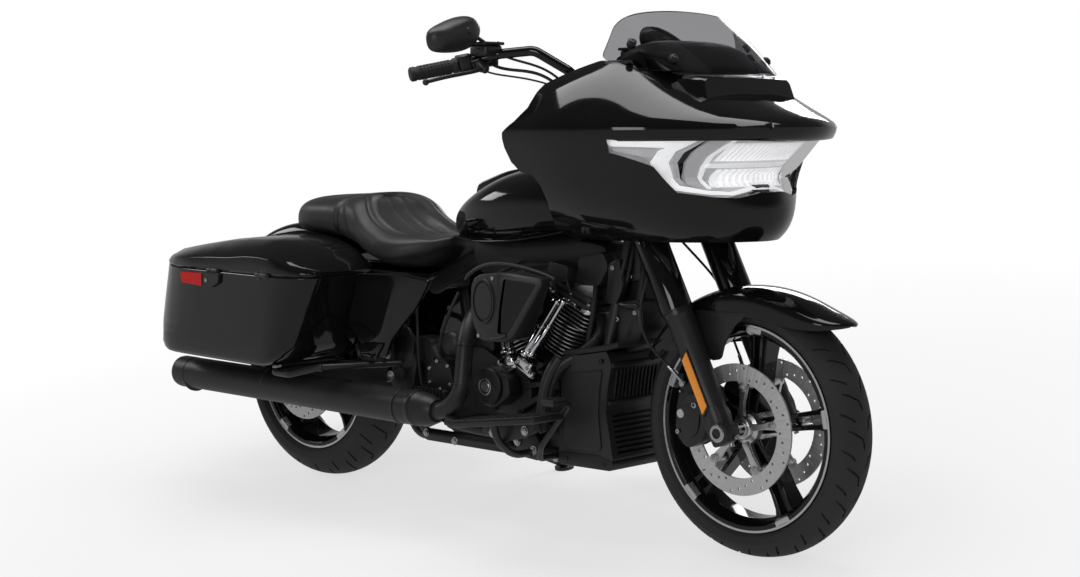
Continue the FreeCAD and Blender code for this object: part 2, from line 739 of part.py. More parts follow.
def cylinder(side):
    points, top = comb_profile()
    wire = Part.makePolygon([V(r, 0, z) for r, z in points + points[:1]])
    barrel = Part.Face(wire).revolve(V(0, 0, 0), V(0, 0, 1), 360)
    head_outline = [(-88, -80), (88, -80), (88, 80), (-88, 80)]
    head = plan_prism(head_outline, 26, top, top + HEAD_HEIGHT)
    rocker_outline = [(-78, -92), (78, -92), (78, 84), (-78, 84)]
    rocker = plan_prism(rocker_outline, 24, top + HEAD_HEIGHT, top + HEAD_HEIGHT + ROCKER_HEIGHT)
    block = cylinder_frame(fused([barrel, head, rocker]), side)
    valley = CRANK_X + side * 1.0
    edges = sorted((valley, valley - side * 400))
    return biggest(block.cut(box(edges[0], edges[1], -200, 200, 0, 900)))


def pushrod_covers():
    rods = []
    for side in (-1, 1):
        for y in (-104, -118):
            lower = (CRANK_X + side * 34 + (y + 111) * 1.6, -150, 455)
            upper = (CRANK_X + side * 112 + (y + 111) * 1.6, -104, 600)
            rods.append(rod(lower, upper, 9))
    for side in (-1, 1):
        block = box(CRANK_X + side * 34 - 26, CRANK_X + side * 34 + 26, -168, -CASE_HALF_WIDTH, 410, 455)
        rods.append(block)
    return rods


def pushrods():
    pieces = fused(pushrod_covers())
    return pieces.cut(cylinder(-1)).cut(cylinder(1)).cut(crankcase()).cut(cam_cover())


CAM_X = 890.0
CAM_Z = 368.0


def cam_cover():
    outline = [(800, 300), (840, 262), (960, 262), (1020, 320), (1010, 400), (960, 408), (880, 430),
               (820, 400)]
    base = side_prism(outline, 30, -150, -CASE_HALF_WIDTH)
    drum = cross_rod(CAM_X, CAM_Z, -196, -150, 56)
    lip = cross_rod(CAM_X, CAM_Z, -206, -196, 48)
    return fused([base, drum, lip])


def primary_cover():
    outline = [(640, 330), (690, 258), (800, 234), (960, 222), (1030, 252), (1062, 320), (1030, 395),
               (960, 420),
               (800, 430), (690, 420)]
    cover = side_prism(outline, 60, CASE_HALF_WIDTH - 12, 196)
    derby = cross_rod(745, 335, 196, 208, 68)
    return fused([cover, derby])


def air_cleaner():
    outline = [(905, 645), (1068, 655), (1040, 530), (1012, 500), (930, 500), (896, 520)]
    pod = side_prism(outline, 24, -286, -196)
    neck = side_prism([(900, 560), (1000, 560), (1000, 625), (900, 625)], 15, -196, -60)
    return fused([pod, neck]).cut(cylinder(-1)).cut(cylinder(1))


def muffler(front_x):
    tail = V(-430, -MUFFLER_Y, MUFFLER_Z)
    front = V(front_x, -MUFFLER_Y + PIPE_INSET, MUFFLER_Z - PIPE_DROP)
    length = (front - tail).Length
    bore = MUFFLER_RADIUS - 8
    can = spun([(bore, 0), (MUFFLER_RADIUS, 0), (MUFFLER_RADIUS, length - 260), (HEADER_RADIUS + 6, length),
                (0, length), (0, 80), (bore, 80)], tail, front)
    bracket = box(60, 90, -MUFFLER_Y + 20, -150, MUFFLER_Z + 20, MUFFLER_Z + 34)
    hanger = box(60, 90, -BAG_INNER_Y + 3, -152, MUFFLER_Z + 20, STRUT_Z + 12)
    peg = cross_rod(75, STRUT_Z, -153, -STRUT_Y, 9)
    peg = peg.cut(cross_strut())
    bracket = bracket.cut(rod(tuple(tail), tuple(front), MUFFLER_RADIUS - 2))
    return fused([can, bracket, hanger, peg])


def cross_strut():
    """The straight rear rail that the muffler hangers bolt to."""
    return rod((-330, -STRUT_Y, STRUT_Z), (380, -STRUT_Y, STRUT_Z), RAIL_RADIUS)


RIGHT_MUFFLER_FRONT = 697.0
LEFT_MUFFLER_FRONT = 330.0


def mufflers():
    return Part.makeCompound([muffler(RIGHT_MUFFLER_FRONT), mirrored(muffler(LEFT_MUFFLER_FRONT))])


def exhaust_pipes():
    y = -MUFFLER_Y + PIPE_INSET
    z = MUFFLER_Z - PIPE_DROP
    rear = pipe([(790, -60, 560), (800, -150, 560), (826, -215, 500), (850, -255, 350), (790, y, z),
                 (RIGHT_MUFFLER_FRONT, y, z)], HEADER_RADIUS + 5, 45)
    front = pipe([(1110, -70, 560), (1136, -182, 530), (1136, -184, 350), (1080, -192, 262), (900, -215, 248),
                  (800, y + 4, z - 22)], HEADER_RADIUS, 60)
    link = pipe([(760, y, z), (650, -200, 256), (549, -92, 238), (466, 90, 238), (460, -y, z),
                 (LEFT_MUFFLER_FRONT, -y, z)], HEADER_RADIUS, 60)
    shape = fused([rear, front, link])
    return biggest(shape.cut(cylinder(-1)).cut(cylinder(1)).cut(mufflers()))


# Bodywork
# Each section of the tank: x, half width, low and high
TANK_SECTIONS = [(608, 34, 742, 788), (660, 92, 738, 836), (730, 138, 726, 876), (815, 166, 720, 914),
                 (900, 180, 724, 938),
                 (1000, 184, 734, 948), (1095, 176, 748, 944), (1160, 154, 766, 914), (1202, 112, 794, 876)]


def fuel_tank(frame_shape):
    sections = [superellipse(x, 0, half, low, high, 0.82) for x, half, low, high in TANK_SECTIONS]
    return biggest(loft(sections).cut(frame_shape).cut(console_block()))


def console_block():
    return side_prism([(690, 800), (690, 900), (800, 925), (1010, 958), (1110, 950), (1110, 850), (800, 850)],
                      20, -46, 46)


CAP_X = 960.0
CAP_RADIUS = 34.0
DOOR_HINGE_X = CAP_X - CAP_RADIUS - 9
DOOR_HINGE_Z = 956.0
DOOR_PIN_RADIUS = 2.0


def tank_console():
    base = console_block().cut(door_room())
    lugs = [box(DOOR_HINGE_X - 4, DOOR_HINGE_X + 3, side, side + 6, 936, DOOR_HINGE_Z + 3) for side in (-18,
                                                                                                        12)]
    pin = cross_rod(DOOR_HINGE_X, DOOR_HINGE_Z, -14, 14, DOOR_PIN_RADIUS)
    return fused([base] + lugs + [pin])


def door_room():
    return Part.makeCylinder(CAP_RADIUS + 6, 60, V(CAP_X, 0, 930))


def fuel_door():
    """A round lid hinged at its rear edge on the console."""
    lid = Part.makeCylinder(CAP_RADIUS + 1, 14, V(CAP_X, 0, DOOR_HINGE_Z - 16))
    leaf = box(DOOR_HINGE_X, CAP_X - CAP_RADIUS + 12, -11, 11, DOOR_HINGE_Z - 4, DOOR_HINGE_Z)
    barrel = cross_rod(DOOR_HINGE_X, DOOR_HINGE_Z, -11, 11, 4)
    stem = Part.makeCylinder(CAP_RADIUS - 6, DOOR_HINGE_Z - 16 - 930 - SEAT_GAP, V(CAP_X, 0, 930 + SEAT_GAP))
    bore = cross_rod(DOOR_HINGE_X, DOOR_HINGE_Z, -12, 12, DOOR_PIN_RADIUS + RUNNING_FIT)
    return fused([lid, leaf, barrel, stem]).cut(bore)


# Each section of the seat: x, half width, low and high
SEAT_SECTIONS = [(-132, 70, 738, 758), (-80, 112, 736, 792), (0, 146, 734, 832), (90, 158, 732, 850),
                 (180, 162, 728, 854),
                 (250, 166, 716, 860), (310, 170, 696, 856), (370, 182, 672, 806), (440, 190, 652, 766),
                 (510, 176, 654, 756),
                 (570, 122, 684, 752), (612, 56, 716, 750)]


def seat(fender_shape, tank_shape, frame_shape):
    sections = [superellipse(x, 0, half, low, high, 0.75) for x, half, low, high in SEAT_SECTIONS]
    drum = cross_rod(0, REAR_AXLE_Z, -REAR_FENDER_HALF, REAR_FENDER_HALF, REAR_FENDER_RADIUS)
    shape = loft(sections).cut(drum)
    return biggest(shape.cut(tank_shape).cut(frame_shape).cut(fender_shape))


def rear_fender():
    r = REAR_FENDER_RADIUS
    half = REAR_FENDER_HALF
    wall = FENDER_WALL
    low = 348
    profile = [(-half, low), (-half, r - 26), (-half + 18, r - 6), (-half + 40, r), (half - 40, r),
               (half - 18, r - 6),
               (half, r - 26), (half, low), (half - wall, low), (half - wall, r - 28), (half - 20, r - 10),
               (half - 41, r - wall), (-half + 41, r - wall), (-half + 20, r - 10), (-half + wall, r - 28),
               (-half + wall, low)]
    wire = Part.makePolygon([V(0, y, REAR_AXLE_Z + q) for y, q in profile + profile[:1]])
    shell = Part.Face(wire).revolve(V(0, 0, REAR_AXLE_Z), V(0, 1, 0), 118)
    shell.rotate(V(0, 0, REAR_AXLE_Z), V(0, 1, 0), -83)
    return shell


PLATE_HOLE_SPACING = 146.0
PLATE_HOLE_RADIUS = 3.5
PLATE_HOLE_Z = 505.0


def tail_light(fender_shape):
    back = -REAR_FENDER_RADIUS
    lamp = box(back, back + 80, -58, 58, 560, 600)
    plate = box(back - 26, back - 16, -90, 90, 410, 520)
    for y in (-PLATE_HOLE_SPACING / 2, PLATE_HOLE_SPACING / 2):
        plate = plate.cut(rod((back - 30, y, PLATE_HOLE_Z), (back - 10, y, PLATE_HOLE_Z), PLATE_HOLE_RADIUS))
    arm = box(back - 16, back + 40, -20, 20, 470, 500)
    stalk = cross_rod(back + 12, 532, -112, 112, 8)
    pieces = [lamp, plate, arm, stalk]
    for side in (-1, 1):
        pieces.append(cross_rod(back + 12, 532, side * 104, side * 128, 26))
    web = box(back, back + 30, -50, 50, 495, 565)
    drum = cross_rod(0, REAR_AXLE_Z, -REAR_FENDER_HALF - 1, REAR_FENDER_HALF + 1, REAR_FENDER_RADIUS - 1)
    return biggest(fused(pieces + [web]).cut(fender_shape).cut(drum))


def side_cover():
    outline = [(700, 640), (640, 560), (545, 474), (510, 410), (440, 420), (355, 500), (400, 640), (560, 655)]
    panel = side_prism(outline, 18, -226, -212)
    pegs = [cross_rod(420, STRUT_Z, -213, -STRUT_Y, 8), cross_rod(470, 470, -213, -STRUT_Y, 8)]
    return fused([panel] + pegs)


def side_covers(frame_shape, seat_shape):
    shape = side_cover().cut(frame_shape).cut(seat_shape)
    return both_sides(biggest(shape))


BAG_SIDE = [(-462, 640), (-448, 470), (-392, 440), (-340, 382), (215, 378), (305, 423), (402, 640)]
LID_SIDE = [(-462, 640), (-458, 662), (-330, 690), (-200, 708), (40, 735), (190, 740), (330, 706),
            (402, 660), (402, 640)]
BAG_PLAN = [(-462, -166), (-462, -270), (-380, -352), (-100, -392), (300, -424), (402, -380), (402, -166)]


def bag_plan(wall):
    face = Part.Face(rounded(plan_points(BAG_PLAN, 300), 60))
    wire = face.OuterWire
    if wall:
        wire = wire.makeOffset2D(-wall)
    return Part.Face(wire).extrude(V(0, 0, 500))


def bag_side(points, wall):
    wire = rounded(side_points(points, -500), 24)
    if wall:
        wire = wire.makeOffset2D(-wall)
    return Part.Face(wire).extrude(V(0, 400, 0))


BAG_FULL_SIDE = BAG_SIDE[1:-1] + list(reversed(LID_SIDE[1:-1]))


def bag_solid(wall):
    return bag_side(BAG_FULL_SIDE, wall).common(bag_plan(wall))


def bag_half(z0, z1):
    shell = bag_solid(0).cut(bag_solid(BAG_WALL))
    return shell.common(box(-600, 600, -600, 0, z0, z1))


HINGE_START = (-60.0, -399.0)
HINGE_END = (260.0, -425.0)
HINGE_PIN_RADIUS = 3.0
HINGE_BARREL_RADIUS = 6.0


def hinge_point(share):
    x = HINGE_START[0] + (HINGE_END[0] - HINGE_START[0]) * share
    y = HINGE_START[1] + (HINGE_END[1] - HINGE_START[1]) * share
    return V(x, y, BAG_BODY_TOP)


def hinge_span(low, high, radius):
    a = hinge_point(low)
    b = hinge_point(high)
    return Part.makeCylinder(radius, (b - a).Length, a, b - a)


def saddlebag():
    body = bag_half(300, BAG_BODY_TOP)
    pieces = [body]
    room = []
    for low, high in ((0.0, 0.2), (0.8, 1.0)):
        pieces.append(hinge_span(low, high, HINGE_PIN_RADIUS))
        pieces.append(hinge_span(low, low + 0.06, HINGE_BARREL_RADIUS))
        pieces.append(hinge_leaf(low, low + 0.06, -16, 0))
        room.append(hinge_span(low + 0.065, high + 0.01, HINGE_BARREL_RADIUS + 1))
    shape = fused(pieces[:1] + pieces[2::3] + pieces[3::3])
    shape = shape.cut(fused(room))
    return fused([shape] + pieces[1::3])


def hinge_leaf(low, high, z0, z1):
    """A strap from the bag's skin out to the barrel."""
    a = hinge_point(low)
    b = hinge_point(high)
    strap = box(a.x, b.x, a.y, a.y + 12, BAG_BODY_TOP + z0, BAG_BODY_TOP + z1)
    return strap


def bag_lid():
    lid = bag_half(BAG_BODY_TOP + LID_GAP, 900)
    pieces = [lid]
    for low, high in ((0.0, 0.2), (0.8, 1.0)):
        barrel = hinge_span(low + 0.065, high - 0.02, HINGE_BARREL_RADIUS)
        leaf = hinge_leaf(low + 0.065, high - 0.02, LID_GAP, 14)
        pieces += [barrel, leaf]
    shape = fused(pieces)
    for low, high in ((0.0, 0.2), (0.8, 1.0)):
        shape = shape.cut(hinge_span(low, high, HINGE_PIN_RADIUS + RUNNING_FIT))
    shape = shape.cut(saddlebag())
    return biggest(shape)


def bag_guard():
    """A tube loop under the front of the bag, fixed to the frame strut."""
    low = BAG_SIDE[3][1] - 16
    tube = pipe([(500, -STRUT_Y, 390), (440, -235, 390), (385, -350, 390), (300, -392, low), (215, -385, low),
                 (200, -300, low), (200, -ARM_Y, low)], 9, 35)
    return tube


# Half outlines of the fairing from its rear edge to the nose, for each height
FAIRING_LEVELS = [
    (774, from_axle([(-410, 205), (-295, 205), (-175, 196), (-85, 160), (-15, 100), (15, 45), (23, 0)])),
    (800, from_axle([(-425, 262), (-295, 262), (-165, 236), (-65, 186), (5, 118), (43, 52), (55, 0)])),
    (860, from_axle([(-441, 322), (-305, 322), (-165, 288), (-55, 216), (15, 132), (59, 56), (71, 0)])),
    (922, from_axle([(-475, 362), (-315, 362), (-185, 326), (-85, 258), (-35, 168), (-7, 76), (-1, 0)])),
    (1022, from_axle([(-475, 402), (-315, 406), (-163, 376), (-45, 310), (65, 212), (137, 96), (159, 0)])),
    (1048, from_axle([(-475, 402), (-315, 406), (-155, 376), (-35, 308), (77, 208), (149, 96), (172, 0)])),
    (1112, from_axle([(-449, 352), (-315, 370), (-195, 346), (-115, 288), (-55, 210), (-19, 106), (-9, 0)])),
    (1160,
     from_axle([(-369, 322), (-285, 326), (-215, 300), (-165, 252), (-127, 180), (-101, 92), (-93, 0)])),
    (1200,
     from_axle([(-285, 252), (-253, 250), (-225, 234), (-201, 200), (-179, 146), (-167, 76), (-161, 0)]))]


def fairing_wire(height, half, inset):
    shrunk = [V(x - inset * share_front(i, len(half)), y - inset * share_side(i, len(half)), height)
              for i, (x, y) in enumerate(half)]
    other = [V(p.x, -p.y, p.z) for p in reversed(shrunk[:-1])]
    curve = Part.BSplineCurve()
    curve.interpolate(shrunk + other)
    back = Part.LineSegment(other[-1], shrunk[0]).toShape()
    return Part.Wire([curve.toShape(), back])


def share_front(index, count):
    return math.sin(math.pi / 2 * index / (count - 1))


def share_side(index, count):
    return math.cos(math.pi / 2 * index / (count - 1))


def fairing_body(inset):
    top = FAIRING_LEVELS[-1][0]
    wires = []
    for height, half in FAIRING_LEVELS:
        level = height - inset if height == top else height
        wires.append(fairing_wire(level, half, inset))
    return loft(wires, ruled=True)


FAIRING_SIDE = from_axle([(-525, 1032), (-503, 962), (-453, 932), (-439, 800), (-395, 770), (225, 770),
                          (225, 1230),
                          (-325, 1230), (-445, 1140)])
LAMP_OUTLINE = [(0, 1020), (-190, 1022), (-372, 1013), (-362, 994), (-296, 984), (-250, 928), (-112, 916),
                (0, 924)]


def lamp_prism():
    outline = LAMP_OUTLINE + [(-y, z) for y, z in reversed(LAMP_OUTLINE[1:-1])]
    return front_prism(outline, WHEELBASE - 245, WHEELBASE + 275)


def fairing_outer():
    inner = fairing_body(FAIRING_WALL)
    shell = fairing_body(0).cut(inner)
    rear_cut = box(WHEELBASE - 625, WHEELBASE - 325, -205, 205, 700, 1300)
    shell = shell.cut(rear_cut)
    floor_room = box(WHEELBASE - 445, WHEELBASE - 65, -200, 200, 700, 800)
    shell = shell.cut(floor_room)
    return biggest(shell.cut(lamp_prism()))


def headlamp():
    slab = fairing_body(0).cut(fairing_body(LAMP_DEPTH))
    return biggest(slab.common(lamp_prism()))


def fairing_inner():
    outline = from_axle([(-295, 1052), (-271, 1052), (-225, 1190), (-249, 1190)])
    slab = side_prism(outline, 4, -400, 400)
    return biggest(slab.common(fairing_body(FAIRING_WALL)))


# Windshield: offset from the middle, foot x and z, top x and z
SCREEN_STATIONS = [(-262, WHEELBASE - 279, 1209, WHEELBASE - 275, 1262),
                   (-215, WHEELBASE - 225, 1200, WHEELBASE - 265, 1298),
                   (-150, WHEELBASE - 179, 1192, WHEELBASE - 259, 1314),
                   (-70, WHEELBASE - 147, 1186, WHEELBASE - 256, 1325),
                   (0, WHEELBASE - 139, 1184, WHEELBASE - 255, 1328)]


def windshield(fairing_shape):
    stations = SCREEN_STATIONS + [(-s[0],) + s[1:] for s in reversed(SCREEN_STATIONS[:-1])]
    wires = []
    for y, foot_x, foot_z, top_x, top_z in stations:
        foot = V(foot_x, y, foot_z)
        top = V(top_x, y, top_z)
        run = (top - foot).normalize()
        side = V(-run.z, 0, run.x) * SCREEN_THICKNESS
        wires.append(Part.makePolygon([foot, top, top + side, foot + side, foot]))
    return biggest(loft(wires, ruled=True).cut(fairing_shape))


COWL_SIDE = [(1100, 186), (1268, 188), (1288, 214), (1264, 335), (1272, 400), (1284, 452), (1268, 486),
             (1116, 458)]
COWL_HALF = 150.0
COWL_WALL = 6.0


def radiator_cowl(frame_shape):
    outer = side_prism(COWL_SIDE, 10, -COWL_HALF, COWL_HALF)
    inner = side_prism([(1060, 180), (1262, 180), (1280, 214), (1256, 335), (1264, 400), (1276, 450),
                        (1262, 479), (1060, 442)],
                       8, -COWL_HALF + COWL_WALL, COWL_HALF - COWL_WALL)
    shell = outer.cut(inner)
    for i in range(8):
        z = 226 + i * 13
        shell = shell.cut(box(1230, 1300, -128, 128, z, z + 6))
    for i in range(17):
        y = -120 + i * 14
        shell = shell.cut(box(1245, 1300, y, y + 7, 368, 438))
    core = box(1216, 1236, -COWL_HALF + COWL_WALL, COWL_HALF - COWL_WALL, 210, 450)
    return biggest(fused([shell, core]).cut(frame_shape))


def footboard():
    board = side_prism([(906, 278), (1216, 322), (1214, 340), (904, 296)], 8, -356, -246)
    arm = pipe([(1000, -RAIL_Y, RAIL_Z), (1000, -216, RAIL_Z), (1012, -285, 250), (1014, -300, 300)], 10, 30)
    return fused([board, arm])


def footboards(frame_shape):
    return both_sides(biggest(footboard().cut(frame_shape)))


def foot_controls(frame_shape, board_shape):
    pedal = pipe([(1085, -RAIL_Y, RAIL_Z), (1085, -205, RAIL_Z), (1120, -234, 240), (1226, -238, 360),
                  (1240, -300, 372)], 8, 25)
    pad = box(1222, 1262, -338, -286, 366, 378)
    right = fused([pedal, pad]).cut(frame_shape).cut(board_shape)
    return both_sides(biggest(right))


def build():
    """Every sub-part in the upright machine's frame, by node name."""
    parts = {}
    parts["rear_tyre"] = tyre(0, REAR_AXLE_Z, REAR_TYRE_RADIUS, REAR_TYRE_WIDTH, REAR_CROWN_RADIUS,
                              REAR_BEAD_RADIUS,
                              REAR_RIM_WIDTH)
    parts["rear_rim"] = rim(0, REAR_AXLE_Z, REAR_BEAD_RADIUS, REAR_RIM_WIDTH, REAR_HUB_HALF)
    parts["rear_brake_disc"] = rear_brake_disc()
    parts["rear_pulley"] = rear_pulley()
    parts["front_tyre"] = tyre(WHEELBASE, FRONT_AXLE_Z, FRONT_TYRE_RADIUS, FRONT_TYRE_WIDTH,
                               FRONT_CROWN_RADIUS,
                               FRONT_BEAD_RADIUS, FRONT_RIM_WIDTH)
    parts["front_rim"] = rim(WHEELBASE, FRONT_AXLE_Z, FRONT_BEAD_RADIUS, FRONT_RIM_WIDTH, FRONT_HUB_HALF)
    parts["front_brake_discs"] = front_brake_discs()
    parts["front_axle"] = front_axle()
    parts["fork_sliders"] = fork_sliders()
    parts["fork_yokes"] = fork_yokes()
    parts["front_fender"] = front_fender()
    parts["front_brakes"] = front_brakes()
    parts["handlebar"] = handlebar()
    parts["hand_controls"] = hand_controls()
    parts["mirrors"] = mirrors()
    headlamp_shape = headlamp()
    fairing_shape = fairing_outer()
    frame_shape = frame().cut(headlamp_shape).cut(fairing_shape)
    parts["frame"] = biggest(frame_shape)
    parts["headlamp"] = headlamp_shape
    parts["swingarm"] = swingarm()
    parts["rear_axle"] = rear_axle()
    parts["rear_shocks"] = both_sides(rear_shock().cut(frame_shape).cut(parts["swingarm"]))
    parts["side_stand"] = side_stand()
    parts["crankcase"] = crankcase()
    parts["cylinder_front"] = cylinder(1)
    parts["cylinder_rear"] = cylinder(-1)
    parts["pushrod_covers"] = pushrods()
    parts["cam_cover"] = cam_cover()
    parts["primary_cover"] = primary_cover()
    parts["air_cleaner"] = air_cleaner()
    parts["mufflers"] = mufflers()
    parts["exhaust_pipes"] = exhaust_pipes()
    parts["fuel_tank"] = fuel_tank(frame_shape)
    parts["tank_console"] = tank_console()
    parts["fuel_door"] = fuel_door()
    parts["rear_fender"] = rear_fender()
    parts["tail_light"] = tail_light(parts["rear_fender"])
    parts["seat"] = seat(parts["rear_fender"], parts["fuel_tank"], frame_shape)
    parts["side_covers"] = side_covers(frame_shape, parts["seat"])
    right_bag = saddlebag().cut(frame_shape)
    parts["saddlebag_right"] = biggest(right_bag)
    parts["saddlebag_left"] = mirrored(parts["saddlebag_right"])
    parts["bag_lid_right"] = bag_lid()
    parts["bag_lid_left"] = mirrored(parts["bag_lid_right"])
    guard = bag_guard().cut(frame_shape).cut(right_bag).cut(parts["swingarm"]).cut(side_cover())
    parts["bag_guards"] = both_sides(biggest(guard))
    parts["fairing_outer"] = fairing_shape
    parts["fairing_inner"] = fairing_inner().cut(frame_shape)
    parts["windshield"] = windshield(parts["fairing_outer"])
    parts["radiator_cowl"] = radiator_cowl(frame_shape)
    parts["footboards"] = footboards(frame_shape)
    parts["foot_controls"] = foot_controls(frame_shape, parts["footboards"])
    parts["drive_belt"] = drive_belt()
    return parts


def settled(shape):
    """Leans a shape onto the side stand."""
    placed = shape.copy()
    placed.rotate(V(0, 0, 0), V(1, 0, 0), -LEAN)
    placed.translate(V(0, 0, FLOOR_DROP))
    return placed


def floor_centre(shapes):
    """Middle of the leaned machine's box, on the floor."""
    whole = FreeCAD.BoundBox()
    for shape in shapes:
        whole.add(shape.optimalBoundingBox(False, False))
    return V((whole.XMin + whole.XMax) / 2, (whole.YMin + whole.YMax) / 2, 0)


def main():
    os.makedirs("parts", exist_ok=True)
    leaned = {name: settled(shape) for name, shape in build().items()}
    centre = floor_centre(leaned.values())
    for name, shape in leaned.items():
        shape.translate(centre * -1)
        shape.exportStep("parts/%s.step" % name)
    return leaned, centre


LEANED, CENTRE = main()
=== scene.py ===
import bmesh
import bpy
import json
import math
from mathutils import Matrix, Vector
from mathutils.bvhtree import BVHTree
from mathutils.kdtree import KDTree


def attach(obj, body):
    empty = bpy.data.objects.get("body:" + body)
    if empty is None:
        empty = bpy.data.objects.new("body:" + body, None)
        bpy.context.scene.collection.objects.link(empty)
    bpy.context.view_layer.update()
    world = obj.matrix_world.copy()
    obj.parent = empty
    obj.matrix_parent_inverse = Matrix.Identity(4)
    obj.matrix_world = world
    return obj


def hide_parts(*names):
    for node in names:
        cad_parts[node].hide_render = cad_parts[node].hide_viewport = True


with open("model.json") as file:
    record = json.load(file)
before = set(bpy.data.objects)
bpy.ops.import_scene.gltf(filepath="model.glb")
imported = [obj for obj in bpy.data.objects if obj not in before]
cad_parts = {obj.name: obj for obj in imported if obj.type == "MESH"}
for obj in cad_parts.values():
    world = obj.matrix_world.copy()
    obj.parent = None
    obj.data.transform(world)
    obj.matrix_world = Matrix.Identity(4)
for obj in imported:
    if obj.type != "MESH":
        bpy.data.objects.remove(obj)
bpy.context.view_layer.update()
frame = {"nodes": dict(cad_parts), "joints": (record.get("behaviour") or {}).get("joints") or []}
NODES = frame["nodes"]

# The machine is drawn upright in metres, x forward from the rear axle, y to the rider's left, z up from
# the ground. SET_DOWN takes a drawing to where the machine leans on its side stand.
REAR_AXLE = Vector((0.0, 0.0, 0.3276))
REAR_SPIN = [joint for joint in frame["joints"] if joint["name"] == "rear_wheel_spin"][0]
ACROSS = Vector(REAR_SPIN["axis"])
LEAN = math.atan2(-ACROSS.z, ACROSS.y)
LEAN_TURN = Matrix.Rotation(-LEAN, 4, "X")
SET_DOWN = Matrix.Translation(Vector(REAR_SPIN["pos_m"]) - LEAN_TURN @ REAR_AXLE) @ LEAN_TURN

FRONT_AXLE = Vector((1.625, 0.0, 0.319))
FORK_RAKE = math.radians(26.9)
LEG_FOOT = Vector((1.6193, 0.0, 0.319))
LEG_Y = 0.1255
FORK = Matrix.Translation(LEG_FOOT) @ Matrix.Rotation(-FORK_RAKE, 4, "Y")
MM = 0.001
FULL_TURN = 2 * math.pi
SIDES = (-1, 1)


def mm(*values):
    return Vector(values) * MM


# Drawing helpers
def verts_of(geometry):
    return [part for part in geometry if isinstance(part, bmesh.types.BMVert)]


def everything(bm):
    return list(bm.verts) + list(bm.edges) + list(bm.faces)


def face_out(bm):
    bmesh.ops.recalc_face_normals(bm, faces=list(bm.faces))


def flipped(bm):
    bmesh.ops.reverse_faces(bm, faces=list(bm.faces))


def welded(bm):
    bmesh.ops.remove_doubles(bm, verts=list(bm.verts), dist=1e-5)


def finished_mesh(name, bm):
    """The mesh of a drawing, which ends the drawing."""
    mesh = bpy.data.meshes.new(name)
    bm.to_mesh(mesh)
    bm.free()
    return mesh


def taken_in(bm, mesh):
    """A drawing with a mesh added, which ends the mesh."""
    bm.from_mesh(mesh)
    bpy.data.meshes.remove(mesh)
    return bm


def placed(name, data):
    """A new object in the scene."""
    made = bpy.data.objects.new(name, data)
    bpy.context.scene.collection.objects.link(made)
    return made


def line_frame(start, end):
    """A frame at start whose z axis runs to end."""
    a = Vector(start)
    b = Vector(end)
    return Matrix.Translation(a) @ (b - a).to_track_quat("Z", "X").to_matrix().to_4x4()


def soften(bm, edges, width, segments=2):
    if width > 0 and edges:
        bmesh.ops.bevel(bm, geom=list(edges), offset=width, offset_type="OFFSET", segments=segments,
                        profile=0.5, affect="EDGES", material=-1, clamp_overlap=True)


def rod(bm, start, end, radius, end_radius=None, sides=24, edge=0.0):
    """A round or many-sided bar between two points in metres."""
    length = (Vector(end) - Vector(start)).length
    place = line_frame(start, end) @ Matrix.Translation((0, 0, length / 2))
    far = radius if end_radius is None else end_radius
    made = bmesh.ops.create_cone(bm, cap_ends=True, cap_tris=False, segments=sides, radius1=radius,
                                 radius2=far, depth=length, matrix=place)
    if edge > 0:
        caps = {f for v in made["verts"] for f in v.link_faces if len(f.verts) == sides and sides != 4}
        soften(bm, {e for f in caps for e in f.edges}, edge)


def ball(bm, spot, radius):
    bmesh.ops.create_uvsphere(bm, u_segments=20, v_segments=14, radius=radius,
                              matrix=Matrix.Translation(spot))


def block(bm, low, high, edge=0.0, segments=2):
    low = Vector(low)
    high = Vector(high)
    size = high - low
    place = Matrix.Translation((low + high) / 2) @ Matrix.Diagonal((size.x, size.y, size.z, 1))
    made = bmesh.ops.create_cube(bm, size=1.0, matrix=place)
    soften(bm, {e for v in made["verts"] for e in v.link_edges}, edge, segments)


def slab(bm, points, depth, corner=0.0, edge=0.0):
    """A flat outline pushed along depth, with its corners rounded and its rims softened."""
    depth = Vector(depth)
    base = bm.faces.new([bm.verts.new(Vector(p)) for p in points])
    top = verts_of(bmesh.ops.extrude_face_region(bm, geom=[base], use_keep_orig=True)["geom"])
    bmesh.ops.translate(bm, vec=depth, verts=top)
    walls = {f for v in top for f in v.link_faces}
    along = depth.normalized()
    sides = {e for f in walls for e in f.edges
             if abs((e.verts[0].co - e.verts[1].co).normalized().dot(along)) > 0.999}
    if corner > 0:
        soften(bm, sides, corner, 4)
    if edge > 0:
        caps = [f for f in bm.faces if len(f.verts) >= len(points) and abs(f.normal.dot(along)) > 0.99
                and flat_in(f, points[0], depth)]
        soften(bm, {e for f in caps for e in f.edges}, edge)


def flat_in(face, corner, depth):
    """Whether a cap face lies in one of the two planes of a slab."""
    reach = (face.calc_center_median() - Vector(corner)).dot(depth.normalized())
    return min(abs(reach), abs(reach - depth.length)) < 1e-5


def side_slab(bm, points, y0, y1, corner=0.0, edge=0.0):
    """A slab from an outline of x, z in millimetres."""
    slab(bm, [mm(x, y0, z) for x, z in points], mm(0, y1 - y0, 0), corner * MM, edge * MM)


